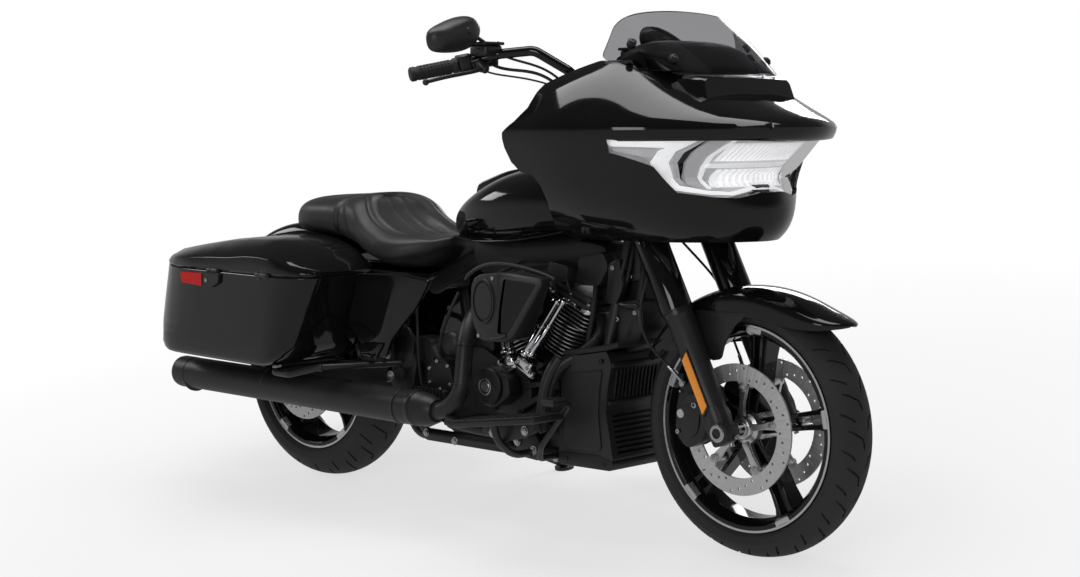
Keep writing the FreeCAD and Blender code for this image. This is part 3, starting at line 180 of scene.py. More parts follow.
def turned(bm, profile, start, end, steps=48):
    """A turned form from points of radius and distance along the line from start to end."""
    place = line_frame(start, end)
    line = [bm.verts.new(place @ Vector((r, 0, d))) for r, d in profile]
    edges = [bm.edges.new(pair) for pair in zip(line, line[1:])]
    axis = (Vector(end) - Vector(start)).normalized()
    made = bmesh.ops.spin(bm, geom=line + edges, cent=Vector(start), axis=axis, dvec=(0, 0, 0),
                          angle=FULL_TURN, steps=steps, use_merge=True, use_duplicate=False)
    ring = set(verts_of(made["geom_last"]))
    near = [v for v in bm.verts if v in ring or ((v.co - Vector(start)).cross(axis)).length < 1e-6]
    bmesh.ops.remove_doubles(bm, verts=near, dist=1e-6)


def wheel_turned(bm, profile, centre, steps=96):
    """A turned form about the cross axis from points of y and radius in millimetres."""
    turned(bm, [(r * MM, y * MM) for y, r in profile], centre, Vector(centre) + Vector((0, 1, 0)), steps)


def loft(bm, rings, closed=True, caps=True):
    """Skin through rings that have the same number of points."""
    chains = []
    for ring in rings:
        verts = [bm.verts.new(Vector(p)) for p in ring]
        edges = [bm.edges.new(pair) for pair in zip(verts, verts[1:])]
        if closed:
            edges.append(bm.edges.new((verts[-1], verts[0])))
        chains.append((verts, edges))
    for (_, a), (_, b) in zip(chains, chains[1:]):
        bmesh.ops.bridge_loops(bm, edges=a + b)
    if caps and closed:
        for verts in (chains[0][0], chains[-1][0]):
            bm.faces.new(verts)


def through(points, steps, closed=False):
    """Points on a smooth curve that passes through the given ones."""
    knots = [Vector(p) for p in points]
    count = len(knots)
    result = []
    for i in range(count if closed else count - 1):
        b = knots[i]
        c = knots[(i + 1) % count]
        a = knots[i - 1] if closed or i > 0 else b * 2 - c
        d = knots[(i + 2) % count] if closed or i + 2 < count else c * 2 - b
        for step in range(steps):
            t = step / steps
            square = (a * 2 - b * 5 + c * 4 - d) * t ** 2
            spot = b * 2 + (c - a) * t + square + (b * 3 - a - c * 3 + d) * t ** 3
            result.append(spot * 0.5)
    if not closed:
        result.append(knots[-1])
    return result


def round_curve(kind, count, radius, sides):
    """A curve with a round section, a radius in millimetres and one run of points."""
    curve = bpy.data.curves.new("line", "CURVE")
    curve.dimensions = "3D"
    curve.bevel_depth = radius * MM
    curve.bevel_resolution = sides
    curve.resolution_u = 8
    curve.use_fill_caps = True
    spline = curve.splines.new(kind)
    points = spline.bezier_points if kind == "BEZIER" else spline.points
    points.add(count - 1)
    return curve, spline, points


def add_curve(bm, curve):
    holder = bpy.data.objects.new("line", curve)
    taken_in(bm, bpy.data.meshes.new_from_object(holder))
    bpy.data.objects.remove(holder)
    bpy.data.curves.remove(curve)


def tube(bm, points, radius, bend=30.0):
    """A bent tube through points in millimetres, straight between bends."""
    knots = [mm(*p) for p in points]
    marks = [(knots[0], knots[0], knots[1])]
    for before, corner, after in zip(knots, knots[1:], knots[2:]):
        back = (before - corner).normalized()
        ahead = (after - corner).normalized()
        reach = min(bend * MM, 0.45 * (before - corner).length, 0.45 * (after - corner).length)
        start = corner + back * reach
        end = corner + ahead * reach
        marks.append((start, start + back * reach * 0.5, start - back * reach * 0.55))
        marks.append((end, end - ahead * reach * 0.55, end + ahead * reach * 0.5))
    marks.append((knots[-1], knots[-2], knots[-1]))
    curve, _, bezier = round_curve("BEZIER", len(marks), radius, 6)
    for point, (spot, left, right) in zip(bezier, marks):
        point.handle_left_type = "FREE"
        point.handle_right_type = "FREE"
        point.co = spot
        point.handle_left = spot + (left - spot) * 0.3 if left is knots[-2] else left
        point.handle_right = spot + (right - spot) * 0.3 if right is knots[1] else right
    add_curve(bm, curve)


def hose(bm, points, radius, sides=5):
    """A smooth hose along points in millimetres."""
    curve, spline, marks = round_curve("NURBS", len(points), radius, sides)
    for point, spot in zip(marks, points):
        point.co = (*mm(*spot), 1.0)
    spline.use_endpoint_u = True
    spline.order_u = 4
    add_curve(bm, curve)


def cap_bolt(bm, spot, facing, radius, height=None):
    """A round cap screw head with a socket."""
    spot = Vector(spot)
    facing = Vector(facing).normalized()
    h = radius * 0.9 if height is None else height
    r = radius
    profile = [(0, h * 0.45), (r * 0.5, h * 0.45), (r * 0.5, h), (r * 0.85, h), (r, h * 0.85), (r, 0), (0, 0)]
    turned(bm, profile, spot, spot + facing, steps=12)


def side_bolts(bm, y, spots, radius, height=None):
    """Cap screws that face outwards at one distance to the side, at spots of x, z in millimetres."""
    for x, z in spots:
        cap_bolt(bm, mm(x, y, z), (0, math.copysign(1, y), 0), radius, height)


def hex_nut(bm, spot, facing, radius, height):
    spot = Vector(spot)
    facing = Vector(facing).normalized()
    rod(bm, spot, spot + facing * height * 0.25, radius * 1.25, sides=20)
    rod(bm, spot, spot + facing * height, radius, sides=6, edge=radius * 0.1)
    rod(bm, spot, spot + facing * height * 1.3, radius * 0.5, sides=12, edge=radius * 0.08)


def both_sides(bm):
    """The drawing with the other side's mirror image added."""
    bmesh.ops.mirror(bm, geom=everything(bm), axis="Y", merge_dist=-1.0)
    return bm


def piece(name, bm, material, body="chassis", stands_for=(), smooth=35.0):
    """Sets a drawing down on the stand as a finished object that rides on a body."""
    face_out(bm)
    bmesh.ops.transform(bm, matrix=SET_DOWN, verts=list(bm.verts))
    mesh = finished_mesh(name, bm)
    mesh.materials.append(material)
    mesh.shade_smooth()
    mesh.set_sharp_from_angle(angle=math.radians(smooth))
    made = placed(name, mesh)
    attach(made, body)
    if stands_for:
        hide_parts(*stands_for)
    return made


def modify(made, kind, name, **values):
    added = made.modifiers.new(name, kind)
    for key, value in values.items():
        setattr(added, key, value)


def rounded_edges(made, width, segments=2, angle=35.0):
    modify(made, "BEVEL", "softened edges", width=width, segments=segments, limit_method="ANGLE",
           angle_limit=math.radians(angle), harden_normals=False)


def subdivided(made, levels):
    modify(made, "SUBSURF", "smooth form", levels=levels, render_levels=levels)


def settled_mesh(made):
    """Applies an object's modifiers to its mesh."""
    graph = bpy.context.evaluated_depsgraph_get()
    mesh = bpy.data.meshes.new_from_object(made.evaluated_get(graph))
    made.modifiers.clear()
    old = made.data
    made.data = mesh
    bpy.data.meshes.remove(old)


def carve(bm, cutters):
    """The drawing with the cutters' drawings taken away."""
    body = placed("blank", finished_mesh("blank", bm))
    for cutter in cutters:
        face_out(cutter)
        tool = placed("cutter", finished_mesh("cutter", cutter))
        modify(body, "BOOLEAN", "cut", operation="DIFFERENCE", object=tool, solver="EXACT")
        settled_mesh(body)
        bpy.data.meshes.remove(tool.data)
    return taken_in(bmesh.new(), body.data)


def smoothed(bm, levels, thickness=0.0):
    """The drawing after subdivision, with a wall if it is a skin."""
    body = placed("form", finished_mesh("form", bm))
    subdivided(body, levels)
    if thickness > 0:
        modify(body, "SOLIDIFY", "wall", thickness=thickness, offset=-1.0, use_even_offset=True)
    settled_mesh(body)
    return taken_in(bmesh.new(), body.data)


def joined(*drawings):
    result = bmesh.new()
    for drawing in drawings:
        taken_in(result, finished_mesh("part", drawing))
    return result


# Finishes
FLOAT = "NodeSocketFloat"
COLOR = "NodeSocketColor"
VECTOR = "NodeSocketVector"


def set_inputs(node, values):
    for key, value in values.items():
        node.inputs[key.replace("_", " ")].default_value = value


def add_node(tree, kind, **values):
    """A new node. A value whose name has a capital goes to an input, any other is a setting of the node."""
    node = tree.nodes.new(kind)
    for key, value in values.items():
        if key[0].isupper():
            set_inputs(node, {key: value})
        else:
            setattr(node, key, value)
    return node


def wire(tree, *pairs):
    for source, target in pairs:
        tree.links.new(source, target)


def math_node(tree, operation, first, second):
    node = add_node(tree, "ShaderNodeMath", operation=operation)
    for socket, value in zip(node.inputs, (first, second)):
        if isinstance(value, (int, float)):
            socket.default_value = value
        else:
            wire(tree, (value, socket))
    return node.outputs[0]


def effect_group(name, inputs, outputs):
    """A node group, and the sockets of what it is given and what it gives."""
    group = bpy.data.node_groups.new(name, "ShaderNodeTree")
    for label, kind, default in inputs:
        socket = group.interface.new_socket(name=label, in_out="INPUT", socket_type=kind)
        if default is not None:
            socket.default_value = default
    for label, kind in outputs:
        group.interface.new_socket(name=label, in_out="OUTPUT", socket_type=kind)
    return group, add_node(group, "NodeGroupInput").outputs, add_node(group, "NodeGroupOutput").inputs


def tone_group():
    """Slow change of colour and gloss over a surface, with fine specks."""
    black = (0, 0, 0, 1)
    group, given, result = effect_group(
        "colour and gloss drift",
        [("Vector", VECTOR, None), ("Color", COLOR, black), ("Second Color", COLOR, black),
         ("Low Gloss", FLOAT, 0.2), ("High Gloss", FLOAT, 0.3), ("Scale", FLOAT, 6.0)],
        [("Color", COLOR), ("Roughness", FLOAT)])
    slow = add_node(group, "ShaderNodeTexNoise", Detail=5.0)
    fine = add_node(group, "ShaderNodeTexNoise", Detail=2.0)
    share = math_node(group, "ADD", math_node(group, "MULTIPLY", slow.outputs[0], 0.7),
                      math_node(group, "MULTIPLY", fine.outputs[0], 0.3))
    spread = add_node(group, "ShaderNodeMapRange", From_Min=0.35, From_Max=0.65)
    mix = add_node(group, "ShaderNodeMix", data_type="RGBA")
    gloss = add_node(group, "ShaderNodeMapRange")
    wire(group, (given["Vector"], slow.inputs["Vector"]), (given["Vector"], fine.inputs["Vector"]),
         (given["Scale"], slow.inputs["Scale"]),
         (math_node(group, "MULTIPLY", given["Scale"], 23.0), fine.inputs["Scale"]),
         (share, spread.inputs["Value"]), (spread.outputs[0], mix.inputs[0]), (given["Color"], mix.inputs[6]),
         (given["Second Color"], mix.inputs[7]), (mix.outputs[2], result["Color"]),
         (spread.outputs[0], gloss.inputs["Value"]), (given["Low Gloss"], gloss.inputs["To Min"]),
         (given["High Gloss"], gloss.inputs["To Max"]), (gloss.outputs[0], result["Roughness"]))
    return group


def relief_group(name, scale, output, kind, stretch=None, **values):
    """A group that gives the height of one texture, stretched where that is given."""
    group, given, result = effect_group(name, [("Vector", VECTOR, None), ("Scale", FLOAT, scale)],
                                        [("Height", FLOAT)])
    texture = add_node(group, kind, **values)
    vector = given["Vector"]
    if stretch:
        mapping = add_node(group, "ShaderNodeMapping", Scale=stretch)
        wire(group, (vector, mapping.inputs["Vector"]))
        vector = mapping.outputs[0]
    wire(group, (vector, texture.inputs["Vector"]), (given["Scale"], texture.inputs["Scale"]),
         (texture.outputs[output], result["Height"]))
    return group


def pebble_group():
    """Pebbled grain of a moulded or embossed skin."""
    group, given, result = effect_group("pebbled skin", [("Vector", VECTOR, None), ("Scale", FLOAT, 500.0)],
                                        [("Height", FLOAT)])
    cells = add_node(group, "ShaderNodeTexVoronoi", feature="SMOOTH_F1", Smoothness=0.6)
    wrinkle = add_node(group, "ShaderNodeTexNoise", Detail=4.0)
    wire(group, (given["Vector"], cells.inputs["Vector"]), (given["Vector"], wrinkle.inputs["Vector"]),
         (given["Scale"], cells.inputs["Scale"]),
         (math_node(group, "MULTIPLY", given["Scale"], 0.4), wrinkle.inputs["Scale"]),
         (math_node(group, "ADD", cells.outputs["Distance"],
                    math_node(group, "MULTIPLY", wrinkle.outputs[0], 0.6)),
          result["Height"]))
    return group


# Fine relief of cast metal, powder coat or paint, grain of a moulded skin, lines along the local x axis of a
# drawn metal, and lathe or sanding rings round the local y axis
TONE = tone_group()
GRAIN = relief_group("cast grain", 900.0, 0, "ShaderNodeTexNoise", Detail=3.0, Roughness=0.6)
PEBBLE = pebble_group()
BRUSHED = relief_group("brushed lines", 40.0, 0, "ShaderNodeTexNoise", stretch=(0.6, 30.0, 30.0), Detail=3.0)
RINGS = relief_group("turned rings", 900.0, 1, "ShaderNodeTexWave", wave_type="RINGS", rings_direction="Y",
                     Distortion=1.5, Detail=2.0, Detail_Scale=0.4)
DRIFT_SCALE = 6.0
RELIEF_HEIGHT = 0.0004
RIPPLE_HEIGHT = 0.0003


def new_material(name, **values):
    """A material, its node tree and its shader, with the shader's inputs set."""
    material = bpy.data.materials.new(name)
    material.use_nodes = True
    shader = material.node_tree.nodes["Principled BSDF"]
    set_inputs(shader, values)
    return material, material.node_tree, shader


def add_relief(tree, shader, vector, relief, scale, strength, height):
    lines = add_node(tree, "ShaderNodeGroup", node_tree=relief, Scale=scale)
    bump = add_node(tree, "ShaderNodeBump", Strength=strength, Distance=height)
    wire(tree, (vector, lines.inputs["Vector"]), (lines.outputs["Height"], bump.inputs["Height"]),
         (bump.outputs[0], shader.inputs["Normal"]))


def finish_material(name, color, second, gloss, relief, scale, strength, centre=(0, 0, 0), **values):
    """A material whose colour and gloss drift and whose relief comes from one of the effect groups."""
    material, tree, shader = new_material(name, **values)
    coords = add_node(tree, "ShaderNodeTexCoord")
    upright = add_node(tree, "ShaderNodeMapping", vector_type="TEXTURE", Location=SET_DOWN @ Vector(centre),
                       Rotation=(-LEAN, 0, 0))
    tone = add_node(tree, "ShaderNodeGroup", node_tree=TONE, Color=(*color, 1), Second_Color=(*second, 1),
                    Low_Gloss=gloss[0], High_Gloss=gloss[1], Scale=DRIFT_SCALE)
    wire(tree, (coords.outputs["Object"], upright.inputs["Vector"]),
         (upright.outputs[0], tone.inputs["Vector"]), (tone.outputs["Color"], shader.inputs["Base Color"]),
         (tone.outputs["Roughness"], shader.inputs["Roughness"]))
    add_relief(tree, shader, upright.outputs[0], relief, scale, strength, RELIEF_HEIGHT)
    return material


def clear_material(name, color, roughness, ior, scale, strength):
    """See-through plastic or glass with a faint moulded ripple."""
    material, tree, shader = new_material(name, Base_Color=(*color, 1), Transmission_Weight=1.0,
                                          Roughness=roughness, IOR=ior)
    coords = add_node(tree, "ShaderNodeTexCoord")
    add_relief(tree, shader, coords.outputs["Object"], GRAIN, scale, strength, RIPPLE_HEIGHT)
    return material


BLACK = (0.0035, 0.0035, 0.0038)
PAINT = finish_material("gloss black paint", BLACK, (0.006, 0.006, 0.0065), (0.05, 0.09), GRAIN, 140.0, 0.02,
                        IOR=1.46)
SATIN = finish_material("satin black powder coat", (0.010, 0.010, 0.011), (0.018, 0.018, 0.019), (0.33, 0.42),
                        GRAIN, 1400.0, 0.25)
# Painted shade: a flat matt black that stands in for the shade inside the duct's mouth, the axle sockets and
# the seat's holes.
SHADOW_BLACK = finish_material("matt black for painted shade", (0.007, 0.007, 0.007), (0.012, 0.012, 0.012), (0.5, 0.65), GRAIN,
                               900.0, 0.3)
EXHAUST = finish_material("black exhaust coat", (0.014, 0.013, 0.013), (0.024, 0.023, 0.022), (0.36, 0.46),
                          GRAIN, 1600.0, 0.3, Metallic=0.2)
ENGINE = finish_material("wrinkle black casting", (0.008, 0.008, 0.009), (0.016, 0.016, 0.017), (0.38, 0.55),
                         PEBBLE, 1500.0, 0.35)
CHROME = finish_material("chrome plate", (0.72, 0.72, 0.74), (0.80, 0.80, 0.82), (0.04, 0.09), GRAIN, 60.0,
                         0.02, Metallic=1.0)
MACHINED = finish_material("machined alloy", (0.62, 0.62, 0.63), (0.72, 0.72, 0.73), (0.22, 0.34), RINGS,
                           260.0, 0.12, Metallic=1.0, centre=FRONT_AXLE)
STEEL = finish_material("ground disc steel", (0.60, 0.60, 0.60), (0.70, 0.70, 0.70), (0.34, 0.46), RINGS,
                        300.0, 0.05, Metallic=0.7, centre=FRONT_AXLE)
REAR_STEEL = finish_material("ground rear disc steel", (0.60, 0.60, 0.60), (0.70, 0.70, 0.70), (0.34, 0.46),
                             RINGS, 300.0, 0.05, Metallic=0.7, centre=REAR_AXLE)
FASTENER = finish_material("zinc fastener", (0.45, 0.45, 0.46), (0.58, 0.58, 0.60), (0.22, 0.36), GRAIN,
                           1200.0, 0.2, Metallic=1.0)
BLACK_FASTENER = finish_material("black oxide fastener", (0.03, 0.03, 0.032), (0.05, 0.05, 0.052),
                                 (0.3, 0.42), GRAIN, 1200.0, 0.2, Metallic=0.6)
RUBBER = finish_material("tyre rubber", (0.016, 0.016, 0.016), (0.026, 0.026, 0.025), (0.62, 0.78), GRAIN,
                         1500.0, 0.35)
GRIP_RUBBER = finish_material("soft grip rubber", (0.012, 0.012, 0.012), (0.020, 0.020, 0.020), (0.6, 0.75),
                              PEBBLE, 900.0, 0.5)
VINYL = finish_material("seat vinyl", (0.012, 0.012, 0.013), (0.020, 0.020, 0.021), (0.40, 0.52), PEBBLE,
                        620.0, 0.55)
THREAD = finish_material("seat thread", (0.05, 0.05, 0.052), (0.08, 0.08, 0.08), (0.6, 0.75), BRUSHED, 60.0,
                         0.5)
PLASTIC = finish_material("moulded black plastic", (0.010, 0.010, 0.010), (0.017, 0.017, 0.017), (0.42, 0.55),
                          PEBBLE, 1300.0, 0.4)
GLASS_BLACK = finish_material("black display glass", (0.004, 0.004, 0.005), (0.006, 0.006, 0.007),
                              (0.03, 0.06), GRAIN, 30.0, 0.01)
BELT = finish_material("toothed belt rubber", (0.014, 0.014, 0.014), (0.022, 0.022, 0.022), (0.6, 0.72),
                       BRUSHED, 120.0, 0.4)
LIGHT_GUIDE = finish_material("white light guide", (0.86, 0.87, 0.88), (0.92, 0.92, 0.93), (0.25, 0.35),
                              BRUSHED, 60.0, 0.3, Emission_Color=(1, 1, 1, 1), Emission_Strength=0.35)
LAMP_SILVER = finish_material("satin lamp silver", (0.42, 0.42, 0.43), (0.56, 0.56, 0.57), (0.30, 0.42),
                              BRUSHED, 40.0, 0.2, Emission_Color=(1, 1, 1, 1), Emission_Strength=0.10)
RED_LENS = finish_material("red lens", (0.42, 0.002, 0.002), (0.55, 0.004, 0.003), (0.22, 0.30), BRUSHED,
                           60.0, 0.3, IOR=1.3)
AMBER = finish_material("amber reflector", (0.85, 0.26, 0.015), (0.95, 0.34, 0.03), (0.16, 0.24), PEBBLE,
                        420.0, 0.5, Coat_Weight=0.5)
DARK_LENS = finish_material("smoked lens", (0.03, 0.008, 0.008), (0.05, 0.012, 0.010), (0.06, 0.10), BRUSHED,
                            40.0, 0.1)
MIRROR_GLASS = finish_material("mirror glass", (0.85, 0.86, 0.88), (0.88, 0.89, 0.90), (0.01, 0.02), GRAIN,
                               10.0, 0.0, Metallic=1.0)
DIAL_MARK = finish_material("dial markings", (0.6, 0.6, 0.6), (0.7, 0.7, 0.7), (0.4, 0.5), GRAIN, 300.0, 0.1)
SMOKE = clear_material("smoked screen", (0.27, 0.27, 0.28), 0.03, 1.05, 40.0, 0.02)
CLEAR = clear_material("clear lamp lens", (0.97, 0.97, 0.98), 0.0, 1.03, 30.0, 0.01)


def refinish(material, *nodes):
    """Gives CAD nodes their better finish."""
    for node in nodes:
        for slot in NODES[node].material_slots:
            slot.link = "OBJECT"
            slot.material = material


# Studio
FLOOR_RADIUS = 14.0
BACKGROUND_WHITE = 1.0
FILL_LEVEL = 0.36
MIRRORED_FLOOR = 0.42
FLOOR_GLOW_NEAR = 1.0
FLOOR_GLOW_FAR = 3.0
FLOOR_GLOW_AT_MACHINE = 0.66
SKY_LOW = 0.05
SKY_HIGH = 0.42
SKY_LOW_LEVEL = 0.40
SKY_HIGH_LEVEL = 0.06
WHITE = (1, 1, 1, 1)


def seen_directly(tree, path):
    """One where the camera looks straight or through glass."""
    return math_node(tree, "MAXIMUM", path.outputs["Is Camera Ray"], path.outputs["Is Transmission Ray"])


def studio_floor():
    bm = bmesh.new()
    bmesh.ops.create_circle(bm, cap_ends=True, segments=96, radius=FLOOR_RADIUS)
    made = placed("studio_floor", finished_mesh("studio floor", bm))
    made.data.materials.append(floor_material())


def floor_material():
    """A pale floor that glows to white away from the machine and mirrors in the paint as a darker one."""
    material, tree, shader = new_material("pale studio floor", Roughness=0.7, Specular_IOR_Level=0.1)
    coords = add_node(tree, "ShaderNodeTexCoord")
    away = add_node(tree, "ShaderNodeVectorMath", operation="LENGTH")
    noise = add_node(tree, "ShaderNodeTexNoise", Scale=3.0)
    tint = add_node(tree, "ShaderNodeMix", data_type="RGBA")
    tint.inputs[6].default_value = (0.80, 0.80, 0.80, 1)
    tint.inputs[7].default_value = (0.82, 0.82, 0.82, 1)
    path = add_node(tree, "ShaderNodeLightPath")
    glow = add_node(tree, "ShaderNodeEmission")
    glossy = path.outputs["Is Glossy Ray"]
    dimmed = math_node(tree, "MULTIPLY", glossy, 1.0 - MIRRORED_FLOOR)
    reach = add_node(tree, "ShaderNodeMapRange", From_Min=FLOOR_GLOW_NEAR, From_Max=FLOOR_GLOW_FAR,
                     To_Min=FLOOR_GLOW_AT_MACHINE, To_Max=1.0)
    share = math_node(tree, "MAXIMUM",
                      math_node(tree, "MULTIPLY", seen_directly(tree, path), reach.outputs[0]), glossy)
    mix = add_node(tree, "ShaderNodeMixShader")
    wire(tree, (coords.outputs["Object"], away.inputs[0]), (coords.outputs["Object"], noise.inputs["Vector"]),
         (noise.outputs[0], tint.inputs[0]), (tint.outputs[2], shader.inputs["Base Color"]),
         (math_node(tree, "SUBTRACT", BACKGROUND_WHITE, dimmed), glow.inputs["Strength"]),
         (away.outputs["Value"], reach.inputs["Value"]), (share, mix.inputs[0]),
         (shader.outputs[0], mix.inputs[1]), (glow.outputs[0], mix.inputs[2]),
         (mix.outputs[0], tree.nodes["Material Output"].inputs["Surface"]))
    return material


def studio_world():
    """White behind the machine, darker overhead for gloss, and a plain level of fill."""
    world = bpy.data.worlds.new("studio")
    bpy.context.scene.world = world
    world.use_nodes = True
    tree = world.node_tree
    fill = tree.nodes["Background"]
    set_inputs(fill, {"Color": WHITE, "Strength": FILL_LEVEL})
    coords = add_node(tree, "ShaderNodeTexCoord")
    height = add_node(tree, "ShaderNodeSeparateXYZ")
    fade = add_node(tree, "ShaderNodeMapRange", interpolation_type="SMOOTHSTEP", From_Min=SKY_LOW,
                    From_Max=SKY_HIGH, To_Min=SKY_LOW_LEVEL, To_Max=SKY_HIGH_LEVEL)
    path = add_node(tree, "ShaderNodeLightPath")
    plain = seen_directly(tree, path)
    white = add_node(tree, "ShaderNodeBackground", Color=WHITE)
    mix = add_node(tree, "ShaderNodeMixShader")
    wire(tree, (coords.outputs["Generated"], height.inputs[0]), (height.outputs["Z"], fade.inputs["Value"]),
         (math_node(tree, "MAXIMUM", plain, fade.outputs[0]), white.inputs["Strength"]),
         (math_node(tree, "MAXIMUM", plain, path.outputs["Is Glossy Ray"]), mix.inputs[0]),
         (fill.outputs[0], mix.inputs[1]), (white.outputs[0], mix.inputs[2]),
         (mix.outputs[0], tree.nodes["World Output"].inputs["Surface"]))


def softbox(name, spot, target, width, length, power):
    light = bpy.data.lights.new(name, "AREA")
    light.shape = "RECTANGLE"
    light.size = width
    light.size_y = length
    light.energy = power
    made = placed(name, light)
    made.location = spot
    made.rotation_euler = (Vector(target) - Vector(spot)).to_track_quat("-Z", "X").to_euler()
    made.visible_camera = False


CAMERA_SPOT = mm(4423.76, -3627.49, 1054.70)
CAMERA_YAW = 2.342999
CAMERA_PITCH = -0.0870013
CAMERA_ROLL = -0.0057198
CAMERA_LENS = 63.008
SENSOR_WIDTH = 36.0
FARTHEST_SEEN = 60.0


def photo_camera():
    data = bpy.data.cameras.new("camera")
    data.sensor_fit = "HORIZONTAL"
    data.sensor_width = SENSOR_WIDTH
    data.lens = CAMERA_LENS
    data.clip_end = FARTHEST_SEEN
    level = math.cos(CAMERA_PITCH)
    forward = Vector((level * math.cos(CAMERA_YAW), level * math.sin(CAMERA_YAW), math.sin(CAMERA_PITCH)))
    right = forward.cross(Vector((0, 0, 1))).normalized()
    up = right.cross(forward)
    rolled_right = right * math.cos(CAMERA_ROLL) + up * math.sin(CAMERA_ROLL)
    rolled_up = up * math.cos(CAMERA_ROLL) - right * math.sin(CAMERA_ROLL)
    turn = Matrix((rolled_right, rolled_up, -forward)).transposed().to_4x4()
    made = placed("camera", data)
    made.matrix_world = SET_DOWN @ Matrix.Translation(CAMERA_SPOT) @ turn
    bpy.context.scene.camera = made


bpy.context.scene.view_settings.view_transform = "Standard"
photo_camera()
studio_world()
studio_floor()
softbox("overhead softbox", (0.1, 0.2, 3.4), (0.2, 0.0, 0.6), 1.5, 3.6, 70.0)
softbox("front softbox", (1.9, -4.6, 2.7), (0.3, 0.0, 0.6), 1.6, 1.8, 42.0)
softbox("left softbox", (-1.9, 4.2, 1.9), (0.0, 0.0, 0.6), 1.0, 1.8, 36.0)
softbox("rear softbox", (-5.4, -1.5, 3.3), (-0.6, -0.3, 0.7), 1.3, 2.0, 44.0)


# Bodywork outlines in millimetres
FAIRING_LEVELS = [
    (774, [(1215, 205), (1330, 205), (1450, 196), (1540, 160), (1610, 100), (1640, 45), (1648, 0)]),
    (800, [(1200, 262), (1330, 262), (1460, 236), (1560, 186), (1630, 118), (1668, 52), (1680, 0)]),
    (860, [(1184, 322), (1320, 322), (1460, 288), (1570, 216), (1640, 132), (1684, 56), (1696, 0)]),
    (922, [(1150, 362), (1310, 362), (1440, 326), (1540, 258), (1590, 168), (1618, 76), (1624, 0)]),
    (1022, [(1150, 402), (1310, 406), (1462, 376), (1580, 310), (1690, 212), (1762, 96), (1784, 0)]),
    (1048, [(1150, 402), (1310, 406), (1470, 376), (1590, 308), (1702, 208), (1774, 96), (1797, 0)]),
    (1112, [(1176, 352), (1310, 370), (1430, 346), (1510, 288), (1570, 210), (1606, 106), (1616, 0)]),
    (1160, [(1256, 322), (1340, 326), (1410, 300), (1460, 252), (1498, 180), (1524, 92), (1532, 0)]),
    (1200, [(1340, 252), (1372, 250), (1400, 234), (1424, 200), (1446, 146), (1458, 76), (1464, 0)])]
BRIM_CREASES = {1022: 0.75, 1048: 0.35}
LAMP_OUTLINE = [(0, 1010), (-190, 1015), (-374, 1017), (-358, 986), (-290, 953), (-232, 892), (-158, 880),
                (-105, 877), (-42, 889), (0, 889)]
FAIRING_REAR = [(1000, 764), (1196, 764), (1196, 790), (1218, 820), (1241, 866), (1243, 905), (1227, 933),
                (1191, 938), (1169, 962), (1160, 998), (1162, 1034), (1180, 1048), (1196, 1060), (1222, 1093),
                (1224, 1131), (1236, 1157), (1240, 1177), (1300, 1192), (1340, 1230), (1000, 1230)]


def mirrored_outline(half):
    """A closed outline of y, z from its right half, which starts and ends on the middle."""
    return half + [(-y, z) for y, z in reversed(half[1:-1])]


def fairing_row(level):
    """A smooth run round the fairing at one level, from the right rear edge to the left one."""
    height, half = FAIRING_LEVELS[level]
    points = [(x, -y, height) for x, y in half] + [(x, y, height) for x, y in reversed(half[:-1])]
    return [p * MM for p in through(points, 3)]


def fairing_x(y, z):
    """How far forward the fairing's skin lies at a width and height, in millimetres."""
    rows = [(level[0], fairing_edge(level[1], abs(y))) for level in FAIRING_LEVELS]
    for (low, near), (high, far) in zip(rows, rows[1:]):
        if low <= z <= high:
            return near + (far - near) * (z - low) / (high - low)
    return rows[-1][1]


def fairing_edge(half, y):
    points = [(p.x, p.y) for p in through(half, 4)]
    for (x0, y0), (x1, y1) in zip(points, points[1:]):
        if y1 <= y <= y0 and y0 > y1:
            return x0 + (x1 - x0) * (y0 - y) / (y0 - y1)
    return points[0][0]


def front_prism(outline, x0, x1):
    bm = bmesh.new()
    slab(bm, [mm(x0, y, z) for y, z in outline], mm(x1 - x0, 0, 0))
    return bm


def fairing_shell():
    bm = bmesh.new()
    loft(bm, [fairing_row(level) for level in range(len(FAIRING_LEVELS))], closed=False)
    crease = bm.edges.layers.float.new("crease_edge")
    for edge in bm.edges:
        low, high = (round(v.co.z / MM) for v in edge.verts)
        if low == high and low in BRIM_CREASES:
            edge[crease] = BRIM_CREASES[low]
    face_out(bm)
    if bm.faces[0].normal.y > 0:
        flipped(bm)
    bm = smoothed(bm, 2, 0.005)
    rear = bmesh.new()
    side_slab(rear, FAIRING_REAR, -500, 500)
    bm = carve(bm, [front_prism(mirrored_outline(LAMP_OUTLINE), 1380, 1900), rear])
    made = piece("fairing_shell", bm, PAINT, stands_for=["fairing_outer"], smooth=38)
    rounded_edges(made, 0.0012, 2, 50)


SHEET_STEP = 14.0


def front_sheet(outline, depth, thickness):
    """A plate that follows the fairing's skin at a depth behind it, from an outline of y, z."""
    bm = bmesh.new()
    bm.faces.new([bm.verts.new(mm(0, y, z)) for y, z in outline])
    low = [min(p[k] for p in outline) for k in (0, 1)]
    high = [max(p[k] for p in outline) for k in (0, 1)]
    for k, normal in ((0, (0, 1, 0)), (1, (0, 0, 1))):
        spot = low[k] + SHEET_STEP
        while spot < high[k]:
            bmesh.ops.bisect_plane(bm, geom=everything(bm), plane_co=Vector(normal) * spot * MM,
                                   plane_no=normal)
            spot += SHEET_STEP
    for vert in bm.verts:
        vert.co.x = (fairing_x(vert.co.y / MM, vert.co.z / MM) - depth) * MM
    made = bmesh.ops.extrude_face_region(bm, geom=list(bm.faces), use_keep_orig=True)["geom"]
    bmesh.ops.translate(bm, vec=mm(-thickness, 0, 0), verts=verts_of(made))
    return bm


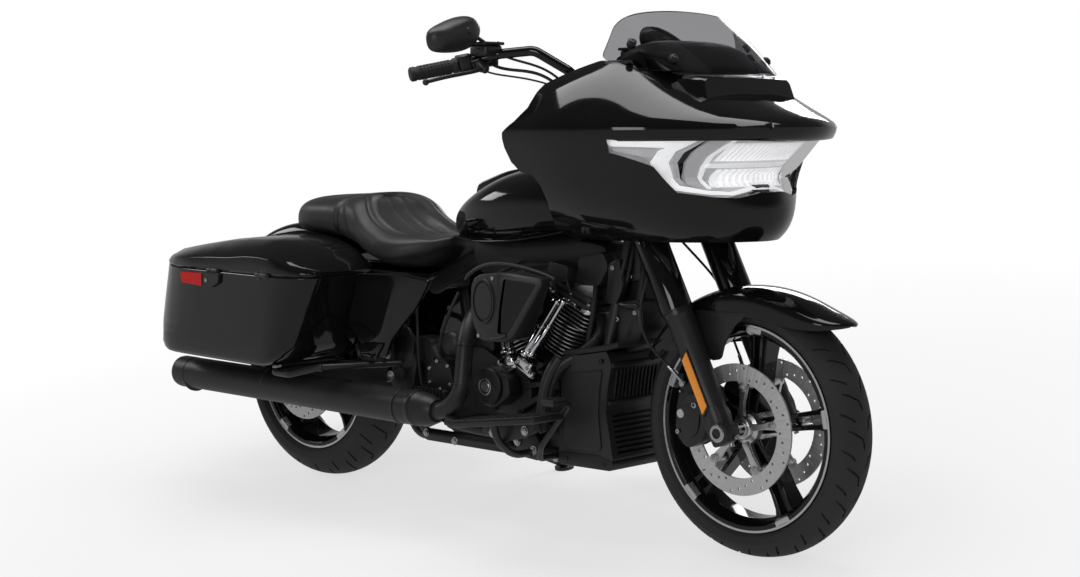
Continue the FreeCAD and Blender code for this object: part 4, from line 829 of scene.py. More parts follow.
GUIDE_WING_TOP = [(-262, 1014), (-366, 1015), (-354, 1001), (-288, 997), (-262, 998)]
GUIDE_WING_LOW = [(-290, 992), (-350, 996), (-344, 989), (-296, 972), (-288, 976)]
GUIDE_HOOK = [(-258, 1014), (-290, 990), (-288, 962), (-232, 898), (-160, 886), (-105, 883), (-42, 895),
              (0, 895), (0, 902), (-42, 902), (-105, 891), (-158, 895), (-214, 908), (-260, 962), (-262, 988),
              (-234, 1014)]
SILVER_CHEVRON = [(-230, 1014), (-256, 986), (-254, 962), (-210, 910), (-198, 910), (-242, 962), (-243, 986),
                  (-218, 1014)]
DARK_CRESCENT = [(-222, 1012), (-240, 986), (-239, 962), (-206, 914), (-200, 915), (-226, 962), (-227, 986),
                 (-214, 1012)]
CHAMBER_SIDE = [(-208, 1014), (-222, 984), (-220, 962), (-190, 908), (-160, 900), (-186, 950), (-190, 975),
                (-168, 1014)]
CHAMBER_EDGE = [(-158, 1014), (-182, 976), (-178, 950), (-150, 898), (-142, 899), (-168, 950), (-172, 976),
                (-148, 1014)]
LAMP_SETBACK = 34.0


def set_back(bm):
    """Moves lamp parts back under the brim, most at the top of the nose."""
    for vert in bm.verts:
        rise = min(max((vert.co.z / MM - 895) / 120, 0), 1)
        wide = min(max(1 - abs(vert.co.y / MM) / 300, 0), 1)
        vert.co.x -= LAMP_SETBACK * rise * (3 * wide - 3 * wide ** 2 + wide ** 3) * MM
    return bm


def lamp_part(name, bm, material, smooth, stands_for=()):
    piece(name, set_back(bm), material, smooth=smooth, stands_for=stands_for)


def headlamp():
    outline = mirrored_outline(LAMP_OUTLINE)
    rim = front_sheet(outline, 1.0, 30.0)
    hole = front_prism(inset_outline(outline, 5.0), 1340, 1900)
    lamp_part("headlamp_bezel", carve(rim, [hole]), PAINT, 30, ["headlamp"])
    lamp_part("headlamp_lens", front_sheet(inset_outline(outline, 4.0), 3.0, 2.5), CLEAR, 50)
    lamp_part("headlamp_bowl", front_sheet(inset_outline(outline, 3.5), 30.0, 3.0), LAMP_SILVER, 15)
    guides = [both_sides(front_sheet(shape, depth, 5.0)) for shape, depth in
              ((GUIDE_WING_TOP, 8.0), (GUIDE_HOOK, 9.0), (CHAMBER_EDGE, 13.0))]
    guides.append(front_sheet([(-172, 948), (172, 948), (170, 958), (-170, 958)], 8.0, 18.0))
    lamp_part("headlamp_light_guides", joined(*guides), LIGHT_GUIDE, 30)
    silver = [both_sides(front_sheet(shape, depth, 6.0)) for shape, depth in
              ((GUIDE_WING_LOW, 13.0), (SILVER_CHEVRON, 12.0), (CHAMBER_SIDE, 14.0))]
    lamp_part("headlamp_chambers", joined(*silver), LAMP_SILVER, 20)
    fins = [front_sheet([(y - 3, 902), (y + 5, 901), (y + 15, 942), (y + 7, 944)], 13.0, 16.0)
            for y in range(-128, 120, 20)]
    fins += [front_sheet([(y, 964), (y + 4, 964), (y + 9, 1006), (y + 5, 1006)], 18.0, 11.0)
             for y in range(-150, 150, 14)]
    lamp_part("headlamp_fins", joined(*fins), LIGHT_GUIDE, 20)
    dark = both_sides(front_sheet(DARK_CRESCENT, 16.0, 8.0))
    lamp_part("headlamp_dark_shields", dark, GLASS_BLACK, 30)
    brim = bmesh.new()
    front = [(fairing_x(y, 1016) - 4, y) for y in range(-356, 357, 8)]
    slab(brim, [mm(x, y, 1013) for x, y in front] + [mm(x - 58, y * 0.96, 1013) for x, y in reversed(front)],
         mm(0, 0, 4))
    piece("brim_underside", brim, PAINT)


def inset_outline(outline, amount):
    """The outline moved inwards by an amount, both in millimetres."""
    bm = bmesh.new()
    face = bm.faces.new([bm.verts.new((0, y, z)) for y, z in outline])
    bmesh.ops.inset_region(bm, faces=[face], thickness=amount, depth=0, use_even_offset=True)
    inner = [(loop.vert.co.y, loop.vert.co.z) for loop in face.loops]
    bm.free()
    return inner


def air_duct():
    """The forward-facing hood below the screen, with its mouth darkened by a painted shade plate."""
    bm = bmesh.new()
    rings = []
    for x, top, low, wide, narrow in ((1490, 1168, 1112, 172, 164), (1550, 1168, 1106, 172, 164),
                                      (1592, 1164, 1100, 170, 162), (1606, 1158, 1096, 166, 158)):
        outline = [(wide, top - 9), (wide - 12, top), (0, top + 3), (12 - wide, top), (-wide, top - 9),
                   (-narrow - 14, low + 5), (-narrow, low), (0, low - 2), (narrow, low),
                   (narrow + 14, low + 5)]
        nose = x > 1500
        rings.append([mm(x - 16 * (y / 170) ** 2 * nose + 0.34 * (top - z) * nose, y, z) for y, z in outline])
    loft(bm, rings)
    bm.faces.ensure_lookup_table()
    mouth = max(bm.faces, key=lambda face: face.calc_center_median().x)
    bmesh.ops.inset_region(bm, faces=[mouth], thickness=0.005, depth=0, use_even_offset=True)
    made = bmesh.ops.extrude_face_region(bm, geom=[mouth])["geom"]
    bmesh.ops.translate(bm, vec=mm(-60, 0, 0), verts=verts_of(made))
    bmesh.ops.delete(bm, geom=[mouth], context="FACES_ONLY")
    hood = piece("air_duct_hood", bm, PAINT, smooth=40)
    rounded_edges(hood, 0.003, 3, 40)
    shade_plate_and_louvres = bmesh.new()
    # Painted shade: a matt black plate across the back of the mouth stands in for the shade inside the duct,
    # with five louvres in front of it.
    block(shade_plate_and_louvres, mm(1562, -156, 1100), mm(1568, 156, 1158), 0.002)
    for i in range(5):
        z = 1106 + 10 * i
        block(shade_plate_and_louvres, mm(1566, -152, z), mm(1580, 152, z + 2.5), 0.0006)
    piece("air_duct_louvres", shade_plate_and_louvres, SHADOW_BLACK)


SCREEN_STATIONS = [(-262, 1350, 1204, 1366, 1286), (-246, 1416, 1196, 1374, 1302),
                   (-215, 1494, 1178, 1380, 1314), (-171, 1560, 1172, 1385, 1322),
                   (-90, 1596, 1170, 1386, 1328), (0, 1602, 1170, 1385, 1330)]
SCREEN_TAPER = 0.88
SCREEN_BOW = mm(6, 0, 8)


def screen_spot(y, share):
    """A point on the right half of the screen, at a distance to the side and a share of the way up."""
    rows = [(s[0], k) for k, s in enumerate(SCREEN_STATIONS)]
    at = between(rows, y)
    low = SCREEN_STATIONS[int(at)]
    high = SCREEN_STATIONS[min(int(at) + 1, len(rows) - 1)]
    a, b = (mm(s[1], y, s[2]).lerp(mm(s[3], y * SCREEN_TAPER, s[4]), share) for s in (low, high))
    return a.lerp(b, at - int(at)) + SCREEN_BOW * math.sin(math.pi * share)


def windshield():
    stations = SCREEN_STATIONS + [(-s[0],) + s[1:] for s in reversed(SCREEN_STATIONS[:-1])]
    bm = bmesh.new()
    rings = []
    for y, foot_x, foot_z, top_x, top_z in stations:
        foot = mm(foot_x, y, foot_z)
        top = mm(top_x, y * SCREEN_TAPER, top_z)
        rings.append([foot.lerp(top, t) + SCREEN_BOW * math.sin(math.pi * t)
                      for t in (0, 0.25, 0.5, 0.75, 1)])
    loft(bm, rings, closed=False)
    face_out(bm)
    bm = smoothed(bm, 2, 0.004)
    piece("screen", bm, SMOKE, stands_for=["windshield"], smooth=60)
    bolts = bmesh.new()
    washers = bmesh.new()
    for y, share in ((-236, 0.42), (-184, 0.20)):
        spot = screen_spot(y, share)
        facing = Vector((0.62, -0.4 if y < -200 else -0.25, 0.6)).normalized()
        rod(washers, spot - facing * 0.012, spot + facing * 0.003, 0.0115, edge=0.0008)
        cap_bolt(bolts, spot + facing * 0.003, facing, 0.0075, 0.004)
    both_sides(washers)
    both_sides(bolts)
    piece("screen_washers", washers, GRIP_RUBBER)
    piece("screen_bolts", bolts, BLACK_FASTENER)
    brace = bmesh.new()
    side_slab(brace, [(1352, 1200), (1436, 1228), (1448, 1216), (1462, 1180), (1440, 1176)], -214, -208, 5, 1)
    side_slab(brace, [(1420, 1180), (1424, 1214), (1470, 1206), (1520, 1176)], -206, -150, 8, 3)
    piece("screen_brackets", both_sides(brace), PLASTIC)


def superellipse_ring(x, half, low, high, power, count):
    """A ring across the machine between two heights, rounder or squarer with its power."""
    middle = (low + high) / 2
    rise = (high - low) / 2
    ring = []
    for i in range(count):
        angle = 2 * math.pi * i / count
        c = math.cos(angle)
        s = math.sin(angle)
        ring.append(mm(x, half * math.copysign(abs(c) ** power, c),
                       middle + rise * math.copysign(abs(s) ** power, s)))
    return ring


TANK_SECTIONS = [(608, 34, 742, 788), (660, 92, 738, 836), (730, 138, 726, 876), (815, 166, 720, 914),
                 (900, 180, 724, 938), (1000, 184, 734, 948), (1095, 176, 748, 944), (1160, 154, 766, 914),
                 (1202, 112, 794, 876)]


CAP_X = 960


def fuel_tank():
    bm = bmesh.new()
    sections = through(TANK_SECTIONS, 3)
    first = Vector((602, 14, 756, 774))
    last = Vector((1214, 70, 812, 858))
    loft(bm, [superellipse_ring(*section, 0.82, 32) for section in [first] + sections + [last]])
    made = piece("tank_shell", bm, PAINT, stands_for=["fuel_tank"], smooth=60)
    subdivided(made, 1)
    seam = bmesh.new()
    points = [(680, -112, 752), (760, -150, 742), (900, -182, 748), (1040, -184, 760), (1150, -160, 786)]
    for side in (1, -1):
        hose(seam, [(x, y * side, z) for x, y, z in points], 2.2)
    piece("tank_weld_seam", seam, PAINT)


def tank_console():
    bm = bmesh.new()
    side_slab(bm, [(690, 800), (690, 892), (800, 927), (1010, 960), (1112, 952), (1112, 850), (800, 850)],
              -44, 44, 22, 7)
    cavity = bmesh.new()
    rod(cavity, mm(CAP_X, 0, 930), mm(CAP_X, 0, 990), 0.040, sides=48)
    bm = carve(bm, [cavity])
    trim = bmesh.new()
    rod(trim, mm(CAP_X, 0, 928), mm(CAP_X, 0, 931), 0.0398, sides=48)
    for side in SIDES:
        block(trim, mm(912, side * 17 - 3, 934), mm(920, side * 17 + 3, 958), 0.001)
    rod(trim, mm(917, -14, 956), mm(917, 14, 956), 0.002, sides=12)
    switch = bmesh.new()
    turned(switch, [(0, 0.012), (0.013, 0.012), (0.015, 0.009), (0.017, 0.002), (0.019, 0), (0, 0)],
           mm(1052, 0, 955), mm(1050, 0, 975), 32)
    block(switch, mm(1040, -4, 964), mm(1064, 4, 972), 0.0015)
    piece("console_body", bm, PAINT, stands_for=["tank_console"])
    piece("console_cap_seat", trim, PLASTIC)
    piece("console_switch", switch, SATIN)
    screws = bmesh.new()
    for x, z in ((720, 902), (1096, 955)):
        cap_bolt(screws, mm(x, 0, z), (-0.15, 0, 1), 0.006)
    piece("console_screws", screws, BLACK_FASTENER)


def fuel_door():
    bm = bmesh.new()
    top = mm(CAP_X, 0, 940)
    r = 0.035
    turned(bm, [(0, 0), (0.028, 0), (r - 0.002, 0.0), (r, 0.002), (r, 0.0105), (r - 0.002, 0.013),
                (r - 0.006, 0.014), (0.024, 0.0135), (0.023, 0.0125), (0.021, 0.0125), (0.020, 0.0137),
                (0, 0.0142)],
           top, top + Vector((0, 0, 1)), 64)
    turned(bm, [(0, -0.0085), (0.027, -0.0085), (0.027, 0.001), (0, 0.001)], top, top + Vector((0, 0, 1)), 48)
    block(bm, mm(917, -10.5, 952), mm(940, 10.5, 956), 0.0008)
    turned(bm, [(0.0022, -0.0105), (0.004, -0.0105), (0.004, 0.0105), (0.0022, 0.0105), (0.0022, -0.0105)],
           mm(917, 0, 956), mm(917, 1, 956), 16)
    piece("fuel_cap", bm, SATIN, body="fuel_door", stands_for=["fuel_door"])
    lock = bmesh.new()
    turned(lock, [(0, 0.0022), (0.008, 0.0022), (0.009, 0), (0, 0)], top + Vector((0, 0, 0.0138)),
           top + Vector((0, 0, 1)), 24)
    piece("fuel_cap_lock", lock, CHROME, body="fuel_door")


def front_fender():
    sections = [(43.2, 388, 12, 7), (44.4, 386, 34, 18), (47, 379, 56, 31), (51, 369, 70, 43),
                (58, 357, 77, 56), (68, 350, 81, 65), (84, 346, 83, 70), (102, 345, 83, 70),
                (120, 345, 83, 68), (137, 345, 81, 58), (150, 345, 76, 42), (152, 344, 73, 36)]
    bm = bmesh.new()
    rings = []
    for section in through(sections, 3):
        angle, radius, half, skirt = section
        half_ring = [(-half, radius - skirt), (-half, radius - skirt * 0.65), (-half, radius - 0.3 * half),
                     (-0.9 * half, radius - 0.17 * half), (-0.62 * half, radius - 0.06 * half),
                     (-0.3 * half, radius - 0.015 * half), (0, radius)]
        ring = half_ring + [(-y, r) for y, r in reversed(half_ring[:-1])]
        c = math.cos(math.radians(angle))
        s = math.sin(math.radians(angle))
        rings.append([FRONT_AXLE + mm(r * c, y, r * s) for y, r in ring])
    loft(bm, rings, closed=False)
    face_out(bm)
    outward(bm, FRONT_AXLE)
    bm = smoothed(bm, 1, 0.0035)
    piece("front_fender_shell", bm, PAINT, body="steering", stands_for=["front_fender"], smooth=45)
    lugs = bmesh.new()
    bolts = bmesh.new()
    for distance, back in ((290, 4), (262, -20)):
        for side in SIDES:
            rod(lugs, FORK @ mm(back, side * 96, distance), FORK @ mm(back, side * 79, distance), 0.012,
                edge=0.001)
            cap_bolt(bolts, FORK @ mm(back, side * 96, distance), (0, side, 0), 0.0075)
    for side in SIDES:
        plate = [(1470, 600), (1660, 604), (1618, 566), (1590, 524), (1580, 486), (1548, 480), (1522, 520)]
        slab(lugs, [mm(x, side * 84, z) for x, z in plate], (0, -side * 0.005, 0), 0.010, 0.001)
    piece("fender_brackets", lugs, SATIN, body="steering")
    piece("fender_bolts", bolts, FASTENER, body="steering")


def outward(bm, centre):
    """Turns an open skin's faces away from a line across the machine."""
    face = max(bm.faces, key=lambda f: f.calc_area())
    away = face.calc_center_median() - Vector(centre)
    away.y = 0
    if face.normal.dot(away) < 0:
        flipped(bm)


def rear_fender():
    half = 112
    r = 440
    profile = [(-half, 348), (-half, 380), (-half, r - 30), (-half + 8, r - 14), (-half + 22, r - 5),
               (-half + 44, r), (0, r + 1)]
    ring = profile + [(-y, q) for y, q in reversed(profile[:-1])]
    bm = bmesh.new()
    line = [bm.verts.new(REAR_AXLE + mm(0, y, q)) for y, q in ring]
    edges = [bm.edges.new(pair) for pair in zip(line, line[1:])]
    bmesh.ops.rotate(bm, verts=line, cent=REAR_AXLE, matrix=Matrix.Rotation(math.radians(-83), 3, "Y"))
    bmesh.ops.spin(bm, geom=line + edges, cent=REAR_AXLE, axis=(0, 1, 0), dvec=(0, 0, 0),
                   angle=math.radians(118), steps=36, use_duplicate=False)
    face_out(bm)
    outward(bm, REAR_AXLE)
    bm = smoothed(bm, 1, 0.004)
    piece("rear_fender_shell", bm, PAINT, stands_for=["rear_fender"], smooth=45)


BAG_REAR = [(640, -462), (470, -448), (440, -392), (382, -342)]
BAG_FRONT = [(640, 402), (423, 305), (380, 222)]
BAG_OUTER = [(-452, 246), (-440, 262), (-400, 295), (-345, 332), (-290, 365), (-230, 384), (-100, 396),
             (120, 412), (300, 424), (370, 408), (402, 380)]
BAG_CORNER_LEAN = 0.226
BAG_CORNER = 34.0
BAG_CORNER_STEPS = 16
BAG_INSIDE = -166
BAG_TOP = 640
BAG_WALL = 0.0045
LID_FOOT = 641
LID_CORNER = 30
HINGE_START = mm(-60, -399, BAG_TOP)
HINGE_RUN = mm(260, -425, BAG_TOP) - HINGE_START


def between(table, at):
    """Straight reading between the rows of a table of two columns."""
    rows = sorted(table)
    if at <= rows[0][0]:
        return rows[0][1]
    for (a, low), (b, high) in zip(rows, rows[1:]):
        if at <= b:
            return low + (high - low) * (at - a) / (b - a)
    return rows[-1][1]


def corner_drop(radius, near):
    """How far a round corner falls back, at a distance from where it ends."""
    return radius - math.sqrt(max(radius ** 2 - max(radius - near, 0) ** 2, 0))


def hinge_point(share):
    """A point on the lid's hinge line, at a share of the way forward."""
    return HINGE_START + HINGE_RUN * share


def bag_ring(z, tuck):
    """One level of the right bag, from its inner rear corner round the outside."""
    rear = between(BAG_REAR, z) + tuck
    shift = min(z - BAG_TOP, 0) * BAG_CORNER_LEAN
    front = between(BAG_FRONT, z) - tuck
    points = [(rear, BAG_INSIDE - tuck)]
    for i in range(BAG_CORNER_STEPS + 1):
        x = rear + (front - rear) * (0.5 - 0.5 * math.cos(math.pi * i / BAG_CORNER_STEPS))
        drop = corner_drop(BAG_CORNER, min(x - rear, front - x))
        points.append((x, -between(BAG_OUTER, x - shift) + tuck + drop))
    points.append((front, BAG_INSIDE - tuck))
    return [mm(x, y, z) for x, y in points]


def bag_mirror(bm, side):
    if side > 0:
        bmesh.ops.scale(bm, vec=(1, -1, 1), verts=list(bm.verts))
    return bm


def saddlebag(side, label):
    bm = bmesh.new()
    levels = [(637, 0), (634, 0), (600, 0), (540, 0), (480, 0), (470, 0), (462, 0), (444, 0), (438, 0),
              (412, 0), (396, 2), (386, 8), (381, 20)]
    loft(bm, [bag_ring(z, tuck) for z, tuck in levels], closed=True, caps=False)
    ends = [v for v in bm.verts if v.co.z < 0.3815]
    edges = [e for e in bm.edges if all(v in ends for v in e.verts)]
    bmesh.ops.contextual_create(bm, geom=edges)
    face_out(bm)
    made = piece("saddlebag_shell_" + label, bag_mirror(bm, side), PAINT,
                 stands_for=["saddlebag_" + label], smooth=40)
    modify(made, "SOLIDIFY", "wall", thickness=BAG_WALL, offset=-1.0, use_even_offset=True)
    bag_fittings(side, label)


def bag_fittings(side, label):
    seal = bmesh.new()
    lip = [Vector(p) for p in bag_ring(639, 7)]
    loft(seal, [[p + Vector((0, 0, z)) for p in lip] for z in (-0.012, 0.0003)], closed=True, caps=False)
    made = piece("saddlebag_seal_" + label, bag_mirror(seal, side), GRIP_RUBBER)
    modify(made, "SOLIDIFY", "wall", thickness=0.003, offset=0.0)
    lens = bmesh.new()
    housing = bmesh.new()
    lamp = [(-198, 627), (10, 633), (6, 606), (-34, 591), (-190, 597)]
    for holder, inset, thick in ((housing, 0, 9), (lens, 7, 11)):
        outline = inset_outline(lamp, inset) if inset else lamp
        base = [mm(x, -between(BAG_OUTER, x) + 3, z) for x, z in outline]
        slab(holder, base, mm(0, -thick - 3, 0), 0.006, 0.0012)
    cut = bmesh.new()
    block(cut, mm(-80, -450, 590), mm(20, -300, 640))
    lens = carve(lens, [cut])
    piece("saddlebag_lamp_housing_" + label, bag_mirror(housing, side), PLASTIC)
    piece("saddlebag_lamp_" + label, bag_mirror(lens, side), RED_LENS, smooth=30)
    stud = bmesh.new()
    cap_bolt(stud, mm(-56, -between(BAG_OUTER, -56) - 8, 611), (0, -1, 0), 0.006, 0.003)
    barrels = bmesh.new()
    for low, high in ((0.0, 0.06), (0.8, 0.86)):
        a = hinge_point(low)
        rod(barrels, a, hinge_point(high), 0.006, sides=20, edge=0.0006)
        block(barrels, a + mm(0, 0, -16), a + HINGE_RUN * (high - low) + mm(0, 12, 0), 0.0008)
    for low, high in ((0.0, 0.2), (0.8, 1.0)):
        rod(barrels, hinge_point(low), hinge_point(high), 0.003, sides=16)
    piece("saddlebag_hinge_" + label, bag_mirror(barrels, side), SATIN)
    piece("saddlebag_lamp_stud_" + label, bag_mirror(stud, side), FASTENER)


LID_TOP = [(-462, 652), (-458, 662), (-330, 690), (-200, 709), (-60, 727), (60, 737), (190, 740), (262, 730),
           (330, 706), (390, 668), (402, 652)]


def bag_lid(side, label):
    bm = bmesh.new()
    rings = []
    stations = [-461.5, -459, -452, -440, -400, -330, -240, -150, -60, 40, 130, 190, 240, 290, 330, 362, 386,
                397, 401]
    for x in stations:
        outer = between(BAG_OUTER, x) - corner_drop(LID_CORNER, min(x + 462, 402 - x))
        top = between(LID_TOP, x)
        rise = top - LID_FOOT
        shoulder = LID_FOOT + rise * (0.42 + 0.06 * (x > 100))
        profile = [(BAG_INSIDE, LID_FOOT), (BAG_INSIDE, top - 3), (-170, top), (-200, top),
                   (-(200 + (outer - 200) * 0.42), top - 2),
                   (-(200 + (outer - 200) * 0.62), top - rise * 0.1), (-(outer - 13), shoulder + 7),
                   (-(outer - 4), shoulder - 1), (-outer, shoulder - rise * 0.2), (-outer - 1.5, 648),
                   (-outer, LID_FOOT)]
        rings.append([mm(x, y, z) for y, z in profile])
    loft(bm, rings, closed=False)
    face_out(bm)
    for ring in (rings[0], rings[-1]):
        bm.faces.new([min(bm.verts, key=lambda v: (v.co - p).length) for p in ring])
    face_out(bm)
    top = max(bm.faces, key=lambda f: f.calc_center_median().z)
    if top.normal.z < 0:
        flipped(bm)
    made = piece("bag_lid_shell_" + label, bag_mirror(bm, side), PAINT, body="bag_lid_" + label,
                 stands_for=["bag_lid_" + label], smooth=32)
    rounded_edges(made, 0.003, 2, 30)
    modify(made, "SOLIDIFY", "wall", thickness=BAG_WALL, offset=-1.0)
    leaves = bmesh.new()
    for low, high in ((0.065, 0.18), (0.865, 0.98)):
        a = hinge_point(low)
        b = hinge_point(high)
        rod(leaves, a, b, 0.006, sides=20, edge=0.0006)
        block(leaves, (a.x, a.y, 0.6405), (b.x, a.y + 0.012, 0.654), 0.0008)
    block(leaves, mm(80, -186, 646), mm(130, -160, 656), 0.002)
    piece("bag_lid_hinges_" + label, bag_mirror(leaves, side), SATIN, body="bag_lid_" + label)


def side_cover():
    outline = [(700, 640), (640, 560), (545, 474), (510, 410), (440, 420), (355, 500), (400, 640), (560, 655)]
    bm = bmesh.new()
    side_slab(bm, outline, -212, -226, 18, 4)
    lower = [(515, 455), (478, 408), (420, 418), (420, 450)]
    side_slab(bm, lower, -228, -233, 6, 1.5)
    block(bm, mm(430, -212, 592), mm(452, -130, 608), 0.002)
    piece("side_cover_panels", both_sides(bm), PAINT, stands_for=["side_covers"], smooth=32)
    ridge = bmesh.new()
    hose(ridge, [(400, -227, 640), (520, -228, 648), (640, -228, 640), (690, -226, 634)], 3.0)
    piece("side_cover_ridges", both_sides(ridge), PAINT)


fairing_shell()
headlamp()
air_duct()
windshield()
fuel_tank()
tank_console()
fuel_door()
front_fender()
rear_fender()
for bag_side, bag_label in ((-1, "right"), (1, "left")):
    saddlebag(bag_side, bag_label)
    bag_lid(bag_side, bag_label)
side_cover()


# Seat
SEAT_SECTIONS = [(-62, 30, 742, 766), (-56, 52, 739, 786), (-40, 78, 737, 806), (-8, 104, 735, 827),
                 (40, 134, 734, 843), (100, 152, 732, 850), (180, 160, 728, 854), (236, 163, 716, 856),
                 (286, 167, 702, 860), (322, 174, 692, 848), (356, 180, 677, 812), (400, 185, 665, 784),
                 (450, 187, 654, 764), (510, 168, 656, 755), (570, 118, 684, 751), (610, 56, 716, 749)]
SCOOP = [(290, 0), (292, 50), (304, 94), (330, 124), (370, 138), (430, 140), (500, 126), (556, 94), (590, 52),
         (600, 0)]
SCOOP_DEPTH = 11.0
SCOOP_BLEND = 48.0
STITCH_PITCH = 6.5
STITCH_LENGTH = 4.2


def met(tree, rays):
    """Where rays, each a start and a direction, meet a form."""
    return [hit[0] for hit in (tree.ray_cast(*ray) for ray in rays) if hit[0]]


def dropped(tree, points):
    """Points of x, y in millimetres dropped onto a form from above."""
    return met(tree, [(mm(x, y, 1000), (0, 0, -1)) for x, y in points])


def pressed(tree, points, side):
    """Points of x, z in millimetres pressed onto a form's flank from one side."""
    return met(tree, [(mm(x, side * 400, z), (0, -side, 0)) for x, z in points])


def evenly(points, pitch):
    """Points at an even pitch along a line, in metres."""
    result = [points[0]]
    left = pitch
    for a, b in zip(points, points[1:]):
        run = (b - a).length
        at = left
        while at < run:
            result.append(a.lerp(b, at / run))
            at += pitch
        left = at - run
    return result


def seat_seams(tree):
    """The sewn lines of the seat, as lists of points on its skin."""
    scoop = [(p.x, p.y) for p in through([(x, -y, 0) for x, y in SCOOP], 12)]
    seams = [dropped(tree, scoop), dropped(tree, [(x, -y) for x, y in scoop])]
    for y in (-22, 22):
        seams.append(dropped(tree, [(296 + 4 * i, y * (1 + 0.002 * i)) for i in range(50)]))
    for side in SIDES:
        bolster = through([(262, 838, 0), (282, 790, 0), (304, 730, 0), (344, 690, 0), (404, 674, 0),
                           (470, 676, 0)], 12)
        seams.append(pressed(tree, [(p.x, p.y) for p in bolster], side))
        flank = through([(246, 770, 0), (268, 748, 0), (290, 712, 0)], 12)
        seams.append(pressed(tree, [(p.x, p.y) for p in flank], side))
    return [evenly(seam, 0.002) for seam in seams]


def crease_points(tree):
    """The deep fold between the passenger's pad and the rider's, over the top and down both sides."""
    over = dropped(tree, [(237, y) for y in range(-140, 141, 4)])
    for side in SIDES:
        over += pressed(tree, [(237, z) for z in range(724, 845, 4)], side)
    return over


def sunk(bm, spots, reach, depth):
    """Presses a channel into a form along close points."""
    lookup = KDTree(len(spots))
    for i, spot in enumerate(spots):
        lookup.insert(spot, i)
    lookup.balance()
    bm.normal_update()
    moves = []
    for vert in bm.verts:
        _, _, away = lookup.find(vert.co)
        if away < reach:
            share = 1 - (away / reach) ** 2
            moves.append((vert, vert.normal * depth * share * share))
    for vert, move in moves:
        vert.co -= move


def scooped(bm):
    """Presses the rider's dish into the top."""
    rim = [Vector((p.x, p.y, 0)) for p in through([(x, y, 0) for x, y in SCOOP], 8)]
    bm.normal_update()
    for vert in bm.verts:
        spot = Vector((vert.co.x / MM, abs(vert.co.y) / MM, 0))
        if vert.normal.z < 0.05 or not 290 < spot.x < 600:
            continue
        wide = between([(p.x, p.y) for p in rim[:len(rim) // 2 + 14]], spot.x)
        inside = min(max((wide - spot.y) / SCOOP_BLEND, 0), 1)
        ends = min(max((600 - spot.x) / SCOOP_BLEND, 0), 1)
        share = inside * inside * (3 - 2 * inside) * ends * ends * (3 - 2 * ends)
        vert.co -= vert.normal * SCOOP_DEPTH * MM * share


def seat():
    bm = bmesh.new()
    loft(bm, [superellipse_ring(*section, 0.72, 88) for section in through(SEAT_SECTIONS, 7)])
    face_out(bm)
    bm = smoothed(bm, 1)
    scooped(bm)
    tree = BVHTree.FromBMesh(bm)
    seams = seat_seams(tree)
    crease = crease_points(tree)
    sunk(bm, crease, 0.013, 0.008)
    sunk(bm, [spot for seam in seams for spot in seam], 0.0075, 0.0026)
    tree = BVHTree.FromBMesh(bm)
    threads = bmesh.new()
    for seam in seams:
        marks = evenly(seam, STITCH_PITCH * MM)
        for a, b in zip(marks, marks[1:]):
            run = (b - a).normalized()
            ends = [tree.find_nearest(spot) for spot in (a, a + run * STITCH_LENGTH * MM)]
            rod(threads, *[spot + normal * 0.0003 for spot, normal, _, _ in ends], 0.00065, sides=6)
    # Painted shade: matt black discs set into the skin stand in for the shade inside the seat's perforations.
    holes = bmesh.new()
    for i in range(22):
        for y in (-9, 0, 9):
            spot, normal, _, _ = tree.ray_cast(mm(300 + 8.5 * i, y, 1000), (0, 0, -1))
            rod(holes, spot - normal * 0.001, spot + normal * 0.0002, 0.0017, sides=10)
    made = piece("seat_cushion", bm, VINYL, stands_for=["seat"], smooth=80)
    piece("seat_stitches", threads, THREAD)
    piece("seat_vent_holes", holes, SHADOW_BLACK)


# Wheels
FRONT_PHASE = 11.0
REAR_PHASE = 18.0
SPOKES = 5
WHEEL_STEPS = 144
RIM_LIP = 12.7
BEAD_INSET = 6
GROOVE_WIDTH = 5.4
GROOVE_DEPTH = 6.0
LONG_SLASH = [(0, 5, 0.5), (10, 8, 1.0), (26, 12, 1.0), (44, 38, 1.1), (50, 47, 0.6)]
SHORT_SLASH = [(22, 30, 0.5), (30, 36, 1.0), (44, 54, 1.0), (48, 58, 0.6)]


def around(centre, angle, radius, y):
    """A point at an angle up from the front and a radius from a wheel's axle, in millimetres and degrees."""
    turn = math.radians(angle)
    return Vector(centre) + mm(radius * math.cos(turn), y, radius * math.sin(turn))


def groove(bm, centre, radius, crown, line, stretch, start, side):
    """One slash of the tread, from points of distance round, distance across and share of the width."""
    rings = []
    for k, (run, across, share) in enumerate(line):
        before = line[max(k - 1, 0)]
        after = line[min(k + 1, len(line) - 1)]
        along = Vector((after[0] - before[0], (after[1] - before[1]) * stretch)).normalized()
        ring = []
        for hand, heights in ((-1, (-GROOVE_DEPTH, 6)), (1, (6, -GROOVE_DEPTH))):
            s = run - hand * along.y * GROOVE_WIDTH * share / 2
            y = across * stretch + hand * along.x * GROOVE_WIDTH * share / 2
            skin = radius - crown + math.sqrt(crown ** 2 - y ** 2)
            for height in heights:
                ring.append(around(centre, start + math.degrees(s / radius), skin + height, side * y))
        rings.append(ring)
    loft(bm, rings)


